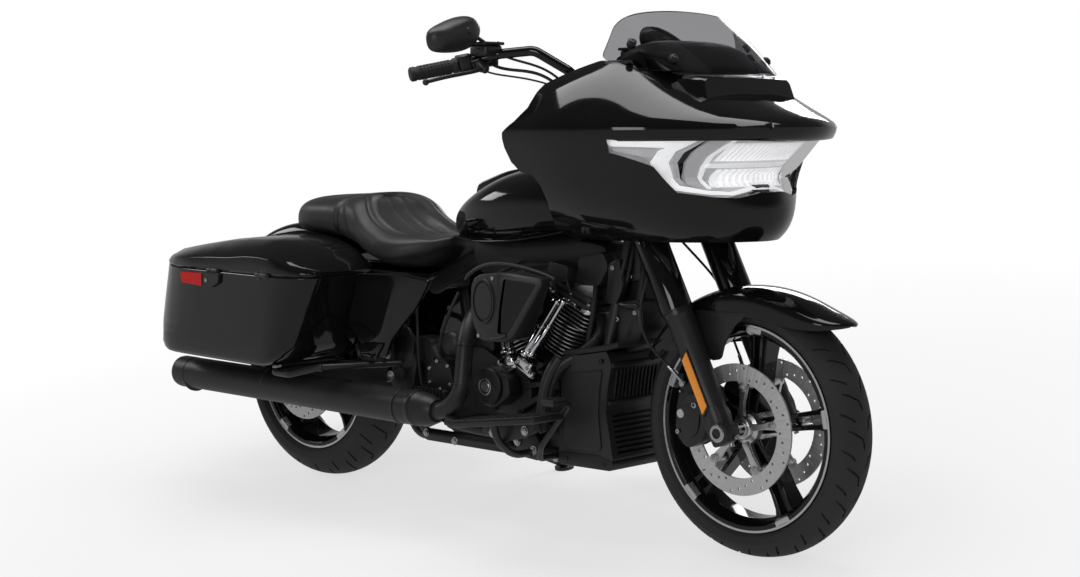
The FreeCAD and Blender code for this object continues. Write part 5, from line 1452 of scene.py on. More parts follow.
def tyre(name, centre, radius, width, crown, bead, rim_width, count, body):
    half = width / 2
    seat_half = rim_width / 2 - BEAD_INSET
    shoulder = radius - crown + math.sqrt(crown ** 2 - half ** 2)
    lip = bead + RIM_LIP
    rise = shoulder - lip
    side = [(seat_half, bead + 1), (seat_half, lip), (seat_half + 3, lip + 1.5),
            (half - 6, lip + 0.30 * rise), (half - 5.2, lip + 0.33 * rise), (half - 4.6, lip + 0.33 * rise),
            (half - 2, lip + 0.56 * rise), (half - 0.4, lip + 0.8 * rise), (half, shoulder)]
    steps = 26
    crown_line = []
    for i in range(1, steps):
        y = -half + width * i / steps
        crown_line.append((y, radius - crown + math.sqrt(crown ** 2 - y ** 2)))
    profile = [(-y, r) for y, r in side] + crown_line + list(reversed(side)) + [(-seat_half, bead + 1)]
    bm = bmesh.new()
    wheel_turned(bm, profile, centre, WHEEL_STEPS)
    welded(bm)
    face_out(bm)
    cutter = bmesh.new()
    stretch = half / 65
    for i in range(count):
        for side_sign in SIDES:
            start = 360 * (i + 0.25 * side_sign) / count
            groove(cutter, centre, radius, crown, LONG_SLASH, stretch, start, side_sign)
            groove(cutter, centre, radius, crown, SHORT_SLASH, stretch, start + 180 / count, side_sign)
    piece(name + "_tread", carve(bm, [cutter]), RUBBER, body=body, stands_for=[name], smooth=32)


def spoke_blade(bm, centre, angle, offsets, inner):
    """One blade of a split spoke, from rows of radius, offset to the side, half thickness and half depth."""
    turn = math.radians(angle)
    out = Vector((math.cos(turn), 0, math.sin(turn)))
    aside = Vector((-math.sin(turn), 0, math.cos(turn)))
    rings = []
    for radius, offset, thick, deep in offsets:
        base = Vector(centre) + out * min(radius, inner) * MM + aside * offset * MM
        rings.append([base + aside * a * thick * MM + mm(0, b * deep, 0)
                      for a, b in ((-1, -1), (1, -1), (1, 1), (-1, 1))])
    loft(bm, rings)


def rim(name, centre, bead, width, hub_half, phase, body):
    half = width / 2
    seat_half = half - BEAD_INSET
    lip = bead + RIM_LIP
    inner = bead - 20
    barrel = bmesh.new()
    profile = [(-half, lip), (-seat_half, lip), (-seat_half, bead), (seat_half, bead), (seat_half, lip),
               (half, lip), (half, bead - 4), (half - 12, bead - 12), (half - 26, inner), (-half + 26, inner),
               (-half + 12, bead - 12), (-half, bead - 4), (-half, lip)]
    wheel_turned(barrel, profile, centre, WHEEL_STEPS)
    welded(barrel)
    made = piece(name + "_barrel", barrel, PAINT, body=body, stands_for=[name], smooth=30)
    rounded_edges(made, 0.0012, 2, 25)
    lips = bmesh.new()
    for side in SIDES:
        ring = [(side * (half - 0.3), lip - 6.5), (side * (half + 0.5), lip - 6),
                (side * (half + 0.5), lip - 0.6), (side * (half - 0.3), lip - 0.1)]
        wheel_turned(lips, ring, centre, WHEEL_STEPS)
    blades = bmesh.new()
    for i in range(SPOKES):
        angle = phase + 360 * i / SPOKES
        for hand in SIDES:
            rows = [(30, hand * 11, 8, 34), (60, hand * 13.5, 6.5, 33), (110, hand * 15, 5.5, 27),
                    (170, hand * 16.5, 5.5, 26), (inner - 16, hand * 18, 6, 29),
                    (inner + 3, hand * 20, 9, 33)]
            spoke_blade(blades, centre, angle, rows, inner + 3)
        web = [(30, 0, 8, 24), (64, 0, 8, 22), (84, 0, 7, 16)]
        spoke_blade(blades, centre, angle, web, inner)
        for side in SIDES:
            pad = [around(centre, angle + spread, radius, side * (half + 0.3)) for spread, radius in
                   ((-5.2, lip - 6), (5.2, lip - 6), (5.2, bead - 4), (-5.2, bead - 4))]
            slab(lips, pad, (0, -side * 0.0015, 0))
            foot = [around(centre, angle + spread, radius, side * deep) for spread, radius, deep in
                    ((-5.0, bead - 4.5, half + 0.1), (5.0, bead - 4.5, half + 0.1),
                     (5.0, bead - 12.2, half - 11.6), (-5.0, bead - 12.2, half - 11.6))]
            slab(lips, foot, around(centre, angle, -1.2, 0) - Vector(centre))
    made = piece(name + "_spokes", blades, PAINT, body=body, smooth=40)
    rounded_edges(made, 0.0022, 3, 30)
    piece(name + "_machined_lips", lips, MACHINED, body=body, smooth=30)
    hub = bmesh.new()
    wheel_turned(hub, [(-hub_half, 14), (-hub_half, 24), (-hub_half + 3, 27), (-hub_half + 12, 28),
                       (-hub_half + 16, 38), (-38, 41), (-30, 44), (30, 44), (38, 41), (hub_half - 16, 38),
                       (hub_half - 12, 28), (hub_half - 3, 27), (hub_half, 24), (hub_half, 14)], centre, 64)
    made = piece(name + "_hub", hub, MACHINED, body=body)
    rounded_edges(made, 0.0008, 2, 30)


DISC_BAND = 42.0
DISC_HALF = 2.5
DISC_HOLES = 40


def brake_disc(disc, arms, bolts, centre, radius, y, phase, spoke_face):
    """A drilled disc on the right side with its five tabs, the arms that carry them and their bolts."""
    inner = radius - DISC_BAND
    ring = bmesh.new()
    wheel_turned(ring, [(y - DISC_HALF, inner), (y - DISC_HALF, radius), (y + DISC_HALF, radius),
                        (y + DISC_HALF, inner), (y - DISC_HALF, inner)],
                 centre, 120)
    welded(ring)
    face_out(ring)
    drills = bmesh.new()
    for i in range(DISC_HOLES):
        angle = phase + 360 * i / DISC_HOLES
        reach = radius - DISC_BAND * (0.2 + 0.2 * (i % 4))
        rod(drills, around(centre, angle, reach, y - 5), around(centre, angle, reach, y + 5), 0.0034,
            sides=12)
    taken_in(disc, finished_mesh("disc", carve(ring, [drills])))
    for i in range(SPOKES):
        angle = phase + 360 * i / SPOKES
        reach = inner - 12
        spread = [(-17, inner + 1), (-11, inner - 5), (-10, reach - 4), (-5, reach - 11), (5, reach - 11),
                  (10, reach - 4), (11, inner - 5), (17, inner + 1)]
        tab = [around(centre, angle + math.degrees(s / r), r, y - DISC_HALF) for s, r in spread]
        slab(disc, tab, mm(0, 2 * DISC_HALF, 0), 0, 0.0004)
        arm = [around(centre, angle + math.degrees(s / r), r, y + 2.6)
               for s, r in ((-9, 36), (-7, 70), (-11, reach), (-5, reach + 8), (5, reach + 8), (11, reach),
                            (7, 70), (9, 36))]
        slab(arms, arm, mm(0, 9, 0), 0, 0.001)
        rod(arms, around(centre, angle, reach, y + 11), around(centre, angle, reach, -spoke_face), 0.011,
            edge=0.001)
        face = around(centre, angle, reach, y - DISC_HALF)
        rod(bolts, face, face - mm(0, 2.2, 0), 0.0105, sides=32, edge=0.0006)
        cap_bolt(bolts, face - mm(0, 2.2, 0), (0, -1, 0), 0.0055, 0.0025)


def brake_discs():
    for name, centre, radius, y, phase, both, body, steel in (
            ("front_brake_discs", FRONT_AXLE, 160, -74, FRONT_PHASE, True, "front_wheel", STEEL),
            ("rear_brake_disc", REAR_AXLE, 150, -99, REAR_PHASE, False, "rear_wheel", REAR_STEEL)):
        disc = bmesh.new()
        arms = bmesh.new()
        bolts = bmesh.new()
        brake_disc(disc, arms, bolts, centre, radius, y, phase, 30)
        if both:
            for bm in (disc, arms, bolts):
                both_sides(bm)
        piece(name + "_rotors", disc, steel, body=body, stands_for=[name], smooth=30)
        piece(name + "_carriers", arms, MACHINED, body=body, smooth=30)
        piece(name + "_bolts", bolts, FASTENER, body=body, smooth=30)


# Fork and front brakes
def leg(back, out, distance):
    """A point by the right fork leg, in millimetres behind it, outside its middle and up from its foot."""
    return FORK @ (mm(0, -LEG_Y / MM, 0) + mm(-back, -out, distance))


def leg_turned(bm, profile):
    turned(bm, [(r * MM, d * MM) for r, d in profile], leg(0, 0, 0), leg(0, 0, 100), 64)


def fork():
    sliders = bmesh.new()
    leg_turned(sliders, [(0, -20), (24, -20), (28, -15), (30, -4), (30, 40), (33, 78), (33, 292), (35.5, 296),
                         (36.5, 302), (36.5, 312), (30, 315)])
    foot = [(-20, -30), (26, -30), (31, 10), (31, 66), (20, 84), (-22, 84), (-30, 40)]
    slab(sliders, [leg(x, -20, z) for x, z in foot], leg(0, 22, 0) - leg(0, -20, 0), 0.006, 0.003)
    rod(sliders, mm(1625, -152, 319), mm(1625, -104, 319), 0.026, sides=48, edge=0.002)
    for low, high in ((84, 112), (222, 252)):
        slab(sliders, [leg(x, -8, z) for x, z in ((20, low), (74, low + 18), (74, high + 6), (20, high))],
             leg(0, 8, 0) - leg(0, -8, 0), 0.004, 0.002)
    piece("fork_sliders_lower", both_sides(sliders), SATIN, body="steering", stands_for=["fork_sliders"],
                 smooth=40)
    covers = bmesh.new()
    leg_turned(covers, [(33, 318), (38.5, 313), (40.5, 314.5), (41, 320), (41, 512), (36, 520), (20, 520)])
    piece("fork_covers", both_sides(covers), PAINT, body="steering", smooth=40)
    rings = bmesh.new()
    for side in SIDES:
        turned(rings, [(0.0125, 0.0), (0.0125, 0.006), (0.019, 0.006), (0.0215, 0.0035), (0.0215, 0.0),
                       (0.0125, 0.0)],
               mm(1625, side * 152, 319), mm(1625, side * 200, 319), 48)
        cap_bolt(rings, mm(1648, side * 127, 293), (0.4, side * 0.2, -1), 0.0065)
        cap_bolt(rings, mm(1652, side * 118, 310), (1, 0, -0.1), 0.006)
    piece("front_axle_rings", rings, FASTENER, body="steering")
    # Painted shade: matt black hexagons in the axle ends stand in for the shade inside their hex sockets.
    sockets = bmesh.new()
    for side in SIDES:
        rod(sockets, mm(1625, side * 150, 319), mm(1625, side * 154, 319), 0.0126, sides=6)
    piece("front_axle_sockets", sockets, SHADOW_BLACK, body="steering")
    amber = bmesh.new()
    backs = bmesh.new()
    for holder, low, high, half, depth, proud in ((backs, 46, 212, 13, 10, 2.5),
                                                  (amber, 52, 206, 10.5, 5, 4.5)):
        outline = [(-half, low + 14), (half, low), (half, high - 14), (-half, high)]
        slab(holder, [leg(x, 33 + proud, z) for x, z in outline], leg(0, -depth, 0) - leg(0, 0, 0), 0.002,
             0.0008)
        both_sides(holder)
    piece("fork_reflector_holders", backs, SATIN, body="steering")
    piece("fork_reflectors", amber, AMBER, body="steering", smooth=25)


CALIPER = [(1462, 300), (1500, 262), (1552, 290), (1566, 350), (1552, 425), (1500, 432), (1468, 380)]


def front_calipers():
    body = bmesh.new()
    side_slab(body, CALIPER, -116, -81, 16, 3)
    side_slab(body, CALIPER, -67, -52, 16, 3)
    side_slab(body, [(1462, 306), (1478, 286), (1484, 300), (1480, 380), (1494, 424), (1478, 406),
                     (1468, 380)], -84, -64, 3, 1)
    side_slab(body, [(1478, 316), (1506, 286), (1536, 304), (1544, 350), (1536, 398), (1502, 408),
                     (1486, 376)], -121, -114,
              14, 2.5)
    for low, high in ((316, 344), (382, 410)):
        side_slab(body, [(1540, low), (1600, low - 10), (1600, high - 12), (1540, high)], -112, -97, 6, 2)
    piece("front_caliper_bodies", both_sides(body), SATIN, body="steering", stands_for=["front_brakes"])
    bolts = bmesh.new()
    for side in SIDES:
        facing = (0, side, 0)
        for x, z, radius in ((1489, 424, 0.009), (1527, 374, 0.008), (1474, 304, 0.006)):
            cap_bolt(bolts, mm(x, side * 117, z), facing, radius)
        rod(bolts, mm(1484, side * 117, 404), mm(1484, side * 124, 404), 0.005, 0.003, sides=12, edge=0.0005)
    piece("front_caliper_bolts", bolts, FASTENER, body="steering", smooth=30)
    caps = bmesh.new()
    for side in SIDES:
        spot = mm(1484, side * 120, 349)
        turned(caps, [(0, 0.003), (0.010, 0.003), (0.011, 0.0018), (0.0115, 0), (0, 0)], spot,
               spot + mm(0, side * 10, 0), 32)
    piece("front_caliper_caps", caps, STEEL, body="steering", smooth=30)
    hoses = bmesh.new()
    sleeves = bmesh.new()
    for side in SIDES:
        hose(hoses, [(1330, side * 60, 760), (1372, side * 96, 700), (1392, side * 160, 640),
                     (1392, side * 172, 560), (1424, side * 160, 500), (1470, side * 134, 458)], 3.2)
        rod(sleeves, mm(1460, side * 139, 466), mm(1489, side * 123, 430), 0.0048, sides=16, edge=0.0006)
        rod(sleeves, mm(1489, side * 116, 424), mm(1489, side * 126, 424), 0.0078, sides=20, edge=0.0008)
    hose(hoses, [(1585, -96, 352), (1560, -96, 480), (1500, -92, 590), (1440, -80, 690), (1390, -60, 770)],
         2.2)
    piece("brake_hoses", hoses, GRIP_RUBBER, body="steering")
    piece("brake_hose_fittings", sleeves, FASTENER, body="steering")


seat()
tyre("front_tyre", FRONT_AXLE, 319.3, 130, 75, 241.3, 106, 22, "front_wheel")
tyre("rear_tyre", REAR_AXLE, 327.6, 180, 100, 228.6, 144, 22, "rear_wheel")
rim("front_rim", FRONT_AXLE, 241.3, 106, 62, FRONT_PHASE, "front_wheel")
rim("rear_rim", REAR_AXLE, 228.6, 144, 88, REAR_PHASE, "rear_wheel")
brake_discs()
fork()
front_calipers()


# Engine
CRANK = mm(955, 0, 310)
CYLINDER_LEAN = math.radians(22.5)
FIN_PITCH = 11.0
FIN_COUNT = 13
FIRST_FIN = 158.0
ROUND_FINS = 9


def cylinder_frame(lean):
    """A frame at the crank with z up one of the two cylinders."""
    return Matrix.Translation(CRANK) @ Matrix.Rotation(lean * CYLINDER_LEAN, 4, "Y")


def square_outline(front, back, right, left, corner, steps=5):
    """A rectangle with round corners as x, y in millimetres."""
    points = []
    for x, y, start in ((front, left, 0), (back, left, 90), (back, right, 180), (front, right, 270)):
        centre_x = x - math.copysign(corner, x)
        centre_y = y - math.copysign(corner, y)
        for i in range(steps + 1):
            turn = math.radians(start + 90 * i / steps)
            points.append((centre_x + corner * math.cos(turn), centre_y + corner * math.sin(turn)))
    return points


def level_slab(bm, place, outline, low, high, edge=0.0):
    slab(bm, [place @ mm(x, y, low) for x, y in outline], place @ mm(0, 0, high) - place @ mm(0, 0, low), 0,
         edge * MM)


def cylinder(lean, node):
    place = cylinder_frame(lean)
    fins = bmesh.new()
    edges = bmesh.new()
    turned(fins, [(0, 0.150), (0.060, 0.150), (0.060, 0.302), (0, 0.302)], place.translation,
           place @ Vector((0, 0, 1)))
    for i in range(FIN_COUNT):
        low = FIRST_FIN + FIN_PITCH * i
        if i < ROUND_FINS:
            outline = square_outline(80, -80, -80, 80, 72, 12)
            rim_line = square_outline(82, -82, -82, 82, 74, 12)
        else:
            outline = square_outline(84, -84, -78, 78, 26)
            rim_line = square_outline(86, -86, -80, 80, 28)
        level_slab(fins, place, outline, low, low + 3.5, 0.6)
        level_slab(edges, place, rim_line, low + 0.7, low + 2.6)
    piece(node + "_fins", fins, ENGINE, stands_for=[node], smooth=30)
    piece(node + "_fin_edges", edges, MACHINED, smooth=30)
    head = bmesh.new()
    level_slab(head, place, square_outline(88, -88, -86, 82, 26), 304, 317, 1.5)
    piece(node + "_head_flange", head, CHROME)
    cover = bmesh.new()
    level_slab(cover, place, square_outline(84, -84, -91, 83, 24), 317, 330, 2)
    level_slab(cover, place, square_outline(76, -76, -84, 76, 22), 330, 347, 6)
    piece(node + "_rocker_cover", cover, ENGINE)
    bolts = bmesh.new()
    axis = (place.to_3x3() @ Vector((0, 0, 1))).normalized()
    for x in (-68, 0, 68):
        for y in (-80, 72):
            cap_bolt(bolts, place @ mm(x, y, 330), axis, 0.0065)
    for x in (-60, 60):
        cap_bolt(bolts, place @ mm(x, -86, 311), (0, -1, 0), 0.0055)
    piece(node + "_head_bolts", bolts, FASTENER)


def pushrods():
    tubes = bmesh.new()
    blocks = bmesh.new()
    bolts = bmesh.new()
    for lean in (-1, 1):
        for y in (-104, -118):
            shift = (y + 111) * 1.6
            low = mm(955 + lean * 34 + shift, -150, 452)
            high = mm(955 + lean * 112 + shift, -104, 600)
            for start, end, radius, edge in ((0, 1, 0.0075, 0), (0, 0.50, 0.0092, 0.001),
                                             (0.50, 0.56, 0.0112, 0.0014), (0, 0.07, 0.0135, 0.002),
                                             (0.93, 1, 0.0125, 0.002)):
                rod(tubes, low.lerp(high, start), low.lerp(high, end), radius, sides=28, edge=edge)
        turn = Matrix.Rotation(lean * CYLINDER_LEAN, 4, "Y")
        place = Matrix.Translation(mm(955 + lean * 34, -136, 432)) @ turn
        level_slab(blocks, place, square_outline(30, -30, -31, 28, 8), -16, 12, 3)
        level_slab(blocks, place, square_outline(38, -38, -24, 24, 8), -26, -14, 2)
        for x in (-31, 31):
            cap_bolt(bolts, place @ mm(x, -16, -14), (place.to_3x3() @ Vector((0, 0, 1))), 0.006)
            cap_bolt(bolts, place @ mm(x * 0.6, -31, -2), (0, -1, 0), 0.005)
    piece("pushrod_tubes", tubes, CHROME, stands_for=["pushrod_covers"], smooth=40)
    piece("tappet_blocks", blocks, CHROME)
    piece("tappet_bolts", bolts, FASTENER)


def cam_cover():
    bm = bmesh.new()
    side_slab(bm, [(816, 330), (848, 288), (940, 288), (992, 330), (980, 396), (944, 420), (880, 430),
                   (830, 400)],
              -104, -134, 24, 4)
    turned(bm, [(0, 0.072), (0.047, 0.072), (0.049, 0.070), (0.050, 0.062), (0.054, 0.060), (0.056, 0.056),
                (0.056, 0), (0, 0)], mm(890, -130, 368), mm(890, -200, 368), 64)
    side_slab(bm, [(905, 412), (958, 398), (966, 352), (930, 326), (890, 318), (870, 368)], -150, -192, 8, 4)
    for outline in ([(962, 396), (1030, 440), (1040, 430), (968, 384)],
                    [(968, 362), (1090, 388), (1088, 398), (966, 376)],
                    [(950, 318), (1050, 366), (1056, 356), (956, 304)],
                    [(960, 262), (1010, 300), (1016, 290), (972, 254)],
                    [(900, 262), (930, 236), (944, 240), (918, 270)]):
        side_slab(bm, outline, -104, -142, 3, 1.5)
    piece("cam_cover_casting", bm, ENGINE, stands_for=["cam_cover"])
    ring = bmesh.new()
    face = mm(884, -202, 367)
    turned(ring, [(0.0185, 0), (0.0185, 0.0018), (0.0205, 0.0024), (0.0225, 0.0018), (0.0225, 0),
                  (0.0185, 0)], face,
           face - mm(0, 10, 0), 48)
    turned(ring, [(0, 0.0008), (0.0135, 0.0008), (0.0145, 0), (0, 0)], face, face - mm(0, 10, 0), 48)
    piece("cam_cover_medallion", ring, MACHINED)
    bolts = bmesh.new()
    side_bolts(bolts, -201, ((888, 402), (884, 332), (846, 367)), 0.005, 0.002)
    side_bolts(bolts, -134,
               ((826, 326), (838, 400), (856, 298), (944, 298), (982, 334), (972, 390), (926, 418)), 0.0058)
    piece("cam_cover_bolts", bolts, BLACK_FASTENER)


AIR_BOX = [(918, 560), (920, 648), (946, 672), (1030, 680), (1126, 664), (1048, 503), (950, 501)]
AIR_RECESS = [(1034, 664), (1108, 652), (1044, 524), (1016, 524)]
AIR_FOLD = 1024.0


def folded_back(bm):
    """Splits the air cleaner's face at its fold and leans the front half back towards the engine."""
    bmesh.ops.bisect_plane(bm, geom=everything(bm), plane_co=mm(AIR_FOLD, 0, 0), plane_no=(1, 0, 0))
    for vert in bm.verts:
        share = (vert.co.y / MM + 205) / -85
        vert.co.y += max(vert.co.x / MM - AIR_FOLD, 0) * 0.62 * min(max(share, 0), 1) * MM


def air_cleaner():
    bm = bmesh.new()
    side_slab(bm, AIR_BOX, -196, -286, 20, 9)
    recess = bmesh.new()
    side_slab(recess, AIR_RECESS, -276, -300, 6)
    bm = carve(bm, [recess])
    folded_back(bm)
    made = piece("air_cleaner_cover", bm, SATIN, stands_for=["air_cleaner"])
    rounded_edges(made, 0.0012, 2, 45)
    gloss = bmesh.new()
    side_slab(gloss, AIR_RECESS, -275, -277, 6)
    folded_back(gloss)
    piece("air_cleaner_inlay", gloss, PAINT)
    oval = bmesh.new()
    place = mm(968, -286, 604)
    for inner, outer, proud in ((53, 59, 0.004), (0, 48, 0.0025)):
        profile = [(inner * MM, 0), (inner * MM, proud), (outer * MM - 0.001, proud),
                   (outer * MM, proud * 0.6), (outer * MM, 0)]
        turned(oval, profile if inner else profile[1:], place, place - mm(0, 10, 0), 64)
    bmesh.ops.scale(oval, vec=(0.66, 1, 1), space=Matrix.Translation(-place), verts=list(oval.verts))
    piece("air_cleaner_oval", oval, SATIN)
    trim = bmesh.new()
    hose(trim, [(800, -184, 650), (856, -190, 692), (980, -196, 700), (1118, -192, 668), (1126, -190, 660)],
         6)
    hose(trim, [(918, -240, 520), (952, -286, 506), (1010, -288, 503), (1042, -280, 520)], 5)
    rod(trim, mm(955, -60, 590), mm(955, -200, 590), 0.038, sides=40, edge=0.003)
    side_slab(trim, [(868, 560), (868, 640), (1050, 640), (1050, 560)], -150, -186, 20, 5)
    piece("air_cleaner_back", trim, PLASTIC)
    screws = bmesh.new()
    side_bolts(screws, -285, ((1000, 664), (948, 514)), 0.005, 0.003)
    piece("air_cleaner_screws", screws, FASTENER)


def gearbox():
    bm = bmesh.new()
    side_slab(bm, [(596, 336), (600, 396), (640, 420), (690, 408), (704, 340), (660, 322)], -104, -148, 14, 4)
    turned(bm, [(0, 0.062), (0.020, 0.062), (0.030, 0.056), (0.034, 0.048), (0.034, 0), (0, 0)],
           mm(694, -96, 462), mm(694, -160, 462), 40)
    side_slab(bm, [(556, 302), (556, 334), (690, 334), (690, 302)], -110, -168, 8, 3)
    for i in range(9):
        block(bm, mm(562 + 14 * i, -174, 300), mm(566 + 14 * i, -166, 337), 0.001)
    rod(bm, mm(640, -130, 410), mm(622, -140, 452), 0.014, sides=24, edge=0.002)
    side_slab(bm, [(470, 320), (470, 440), (520, 470), (590, 460), (596, 330)], -60, -118, 16, 4)
    side_slab(bm, [(720, 452), (730, 640), (800, 650), (812, 440)], -40, -96, 16, 4)
    piece("gearbox_side", bm, ENGINE)
    bolts = bmesh.new()
    side_bolts(bolts, -148, ((612, 350), (612, 388), (642, 410), (684, 400), (692, 350), (652, 334)), 0.0055)
    side_bolts(bolts, -140, ((664, 446), (722, 478), (676, 484)), 0.0045)
    for x, z in ((495, 360), (483, 420)):
        hex_nut(bolts, mm(x, -188, z), (0, -1, 0), 0.011, 0.006)
    piece("gearbox_bolts", bolts, FASTENER)
    lines = bmesh.new()
    hose(lines, [(700, -120, 600), (690, -150, 540), (660, -150, 500), (640, -140, 430)], 5)
    hose(lines, [(560, -150, 560), (580, -160, 480), (560, -150, 420), (570, -140, 330)], 4)
    hose(lines, [(820, -170, 250), (900, -180, 226), (990, -170, 232), (1050, -150, 300)], 5)
    hose(lines, [(1150, -60, 640), (1170, -90, 560), (1150, -100, 470), (1120, -80, 400)], 7)
    piece("engine_hoses", lines, GRIP_RUBBER, smooth=60)


def under_tank():
    """The wiring cover, coil and intake that fill the space between the tank and the heads."""
    bm = bmesh.new()
    side_slab(bm, [(690, 712), (720, 742), (1100, 752), (1180, 742), (1190, 700), (1120, 664), (1000, 690),
                   (880, 690), (800, 652), (720, 650)], -58, 58, 14, 4)
    side_slab(bm, [(880, 560), (880, 696), (1012, 696), (1012, 560)], -50, 50, 10, 4)
    side_slab(bm, [(1100, 640), (1110, 712), (1196, 730), (1214, 690), (1180, 640)], -40, -84, 12, 4)
    side_slab(bm, [(1020, 650), (1030, 700), (1100, 690), (1090, 646)], -60, -110, 8, 3)
    piece("under_tank_covers", bm, PLASTIC)
    leads = bmesh.new()
    for i, x in enumerate((1040, 1090, 860, 820)):
        hose(leads, [(1060 - 20 * i, -80, 690), (x + 10, -110, 680), (x, -112, 650), (x, -90, 620)], 4)
    piece("ignition_leads", leads, GRIP_RUBBER, smooth=60)


def exhaust():
    bm = bmesh.new()
    for side, front in ((-1, 764), (1, 340)):
        start = mm(-376, side * 270, 306.6)
        end = mm(front, side * 264, 297)
        length = (end - start).length
        profile = [(0.0, 0.070), (0.037, 0.070), (0.0375, 0.008), (0.0395, 0.001), (0.042, 0.0),
                   (0.0455, 0.004), (0.0475, 0.014), (0.0475, 0.062), (0.0462, 0.063), (0.0462, 0.066),
                   (0.047, 0.067), (0.047, length - 0.072), (0.0478, length - 0.071),
                   (0.0478, length - 0.066), (0.0465, length - 0.064), (0.044, length - 0.036),
                   (0.036, length - 0.008), (0.030, length), (0, length)]
        turned(bm, profile, start, end, 80)
    piece("muffler_bodies", bm, EXHAUST, stands_for=["mufflers"])
    pipes = bmesh.new()
    tube(pipes, [(790, -60, 560), (800, -150, 560), (826, -215, 500), (850, -255, 350), (790, -264, 297),
                 (690, -264, 297)],
         23, 62)
    hose(pipes, [(1132, -20, 560), (1186, -60, 530), (1176, -112, 470), (1112, -158, 448), (1082, -172, 380),
                 (1078, -180, 300), (1050, -192, 262), (900, -215, 248), (800, -262, 280)], 17, 8)
    tube(pipes, [(760, -264, 297), (650, -200, 256), (549, -92, 238), (466, 90, 238), (460, 264, 297),
                 (340, 264, 297)],
         24, 60)
    piece("exhaust_headers", pipes, EXHAUST, stands_for=["exhaust_pipes"], smooth=50)
    shields = bmesh.new()
    hose(shields, [(1116, -162, 458), (1092, -180, 420), (1080, -190, 350), (1080, -192, 300),
                   (1092, -190, 268)], 15, 8)
    top = mm(826, -215, 500)
    foot = mm(850, -255, 350)
    for low, high in ((0.16, 0.19), (0.84, 0.86)):
        rod(shields, top.lerp(foot, low), top.lerp(foot, high), 0.0250, sides=48, edge=0.001)
    for x in (628, -318):
        rod(shields, mm(x, -265, 298.5), mm(x + 9, -265, 298.5), 0.0492, sides=64, edge=0.001)
    piece("exhaust_shields", shields, SATIN, smooth=45)
    clamps = bmesh.new()
    for x, side, z in ((690, -1, 300), (70, -1, 304), (70, 1, 304)):
        rod(clamps, mm(x - 8, side * 266, z), mm(x + 8, side * 266, z), 0.0485, sides=48, edge=0.001)
        cap_bolt(clamps, mm(x, side * 240, 258), (0, side * 0.3, -1), 0.006)
    block(clamps, mm(60, -240, 330), mm(90, -200, 350), 0.002)
    piece("exhaust_clamps", clamps, BLACK_FASTENER)


def cowl():
    mesh = bmesh.new()
    for i in range(40):
        z = 214 + 3.4 * i
        x = 1284 - (z - 214) * 0.16
        block(mesh, mm(x - 12, -132, z), mm(x - 4, 132, z + 1.4))
    for i in range(34):
        y = -128 + 7.75 * i
        rod(mesh, mm(1274, y, 214), mm(1254, y, 346), 0.0012, sides=6)
    piece("cowl_mesh", mesh, PLASTIC)
    slats = bmesh.new()
    for i in range(19):
        y = -126 + 14 * i
        slab(slats, [mm(x, y - 1.6, z) for x, z in ((1262, 362), (1272, 362), (1284, 440), (1270, 446))],
             mm(0, 3.2, 0), 0, 0.0008)
    side_slab(slats, [(1262, 350), (1274, 350), (1276, 360), (1264, 361)], -146, 146, 2, 1)
    side_slab(slats, [(1270, 442), (1288, 446), (1290, 456), (1274, 462)], -148, 148, 3, 2)
    piece("cowl_slats", slats, SATIN)
    shelf = bmesh.new()
    side_slab(shelf, [(1120, 462), (1268, 488), (1310, 500), (1306, 512), (1262, 502), (1116, 476)], -152,
              152, 4, 3)
    side_slab(shelf, [(1104, 182), (1282, 184), (1292, 206), (1270, 214), (1234, 222), (1108, 216)], -153,
              153, 8, 4)
    for side in SIDES:
        side_slab(shelf, [(1120, 226), (1252, 232), (1240, 330), (1246, 396), (1256, 440), (1128, 420)],
                  side * 150, side * 154, 14, 2)
    piece("cowl_shelf_and_skid", shelf, PLASTIC)
    bolts = bmesh.new()
    for side in SIDES:
        side_bolts(bolts, side * 153.5, ((1130, 200), (1260, 200), (1136, 440), (1250, 460)), 0.006, 0.003)
    piece("cowl_bolts", bolts, BLACK_FASTENER)


def footboards():
    boards = bmesh.new()
    side_slab(boards, [(906, 278), (1214, 321), (1212, 333), (904, 290)], -356, -246, 5, 3)
    side_slab(boards, [(930, 262), (1000, 240), (1090, 262), (1130, 306), (940, 280)], -262, -250, 8, 2)
    tube(boards, [(1000, -125, 200), (1000, -216, 200), (1012, -285, 250), (1014, -300, 296)], 10, 30)
    side_slab(boards, [(940, 186), (960, 250), (1010, 262), (1040, 214), (1030, 180)], -140, -150, 10, 2)
    piece("footboard_frames", both_sides(boards), SATIN, stands_for=["footboards"])
    pads = bmesh.new()
    side_slab(pads, [(914, 291), (1206, 332), (1204, 338), (912, 297)], -350, -252, 3, 1.5)
    for i in range(12):
        x = 934 + 23 * i
        z = 299 + (x - 914) * 0.1404
        side_slab(pads, [(x, z - 4), (x + 9, z - 2.8), (x + 8, z + 2.2), (x + 1, z + 1.2)], -340, -262, 0.8,
                  0.6)
    piece("footboard_pads", both_sides(pads), GRIP_RUBBER)
    bolts = bmesh.new()
    for side in SIDES:
        for x, y, z in ((952, 151, 224), (1012, 151, 206), (975, 263, 262), (1090, 263, 280),
                        (1112, 130, 190)):
            hex_nut(bolts, mm(x, side * y, z), (0, side, 0), 0.010, 0.006)
    piece("footboard_bolts", bolts, FASTENER)
    pedal_pads = bmesh.new()
    for side in SIDES:
        block(pedal_pads, mm(1222, side * 338, 372), mm(1262, side * 286, 381), 0.003)
        inner, outer = sorted((side * 334, side * 290))
        for i in range(5):
            block(pedal_pads, mm(1227 + 7 * i, inner, 380), mm(1230 + 7 * i, outer, 383.5), 0.0008)
    piece("pedal_pads", pedal_pads, GRIP_RUBBER)


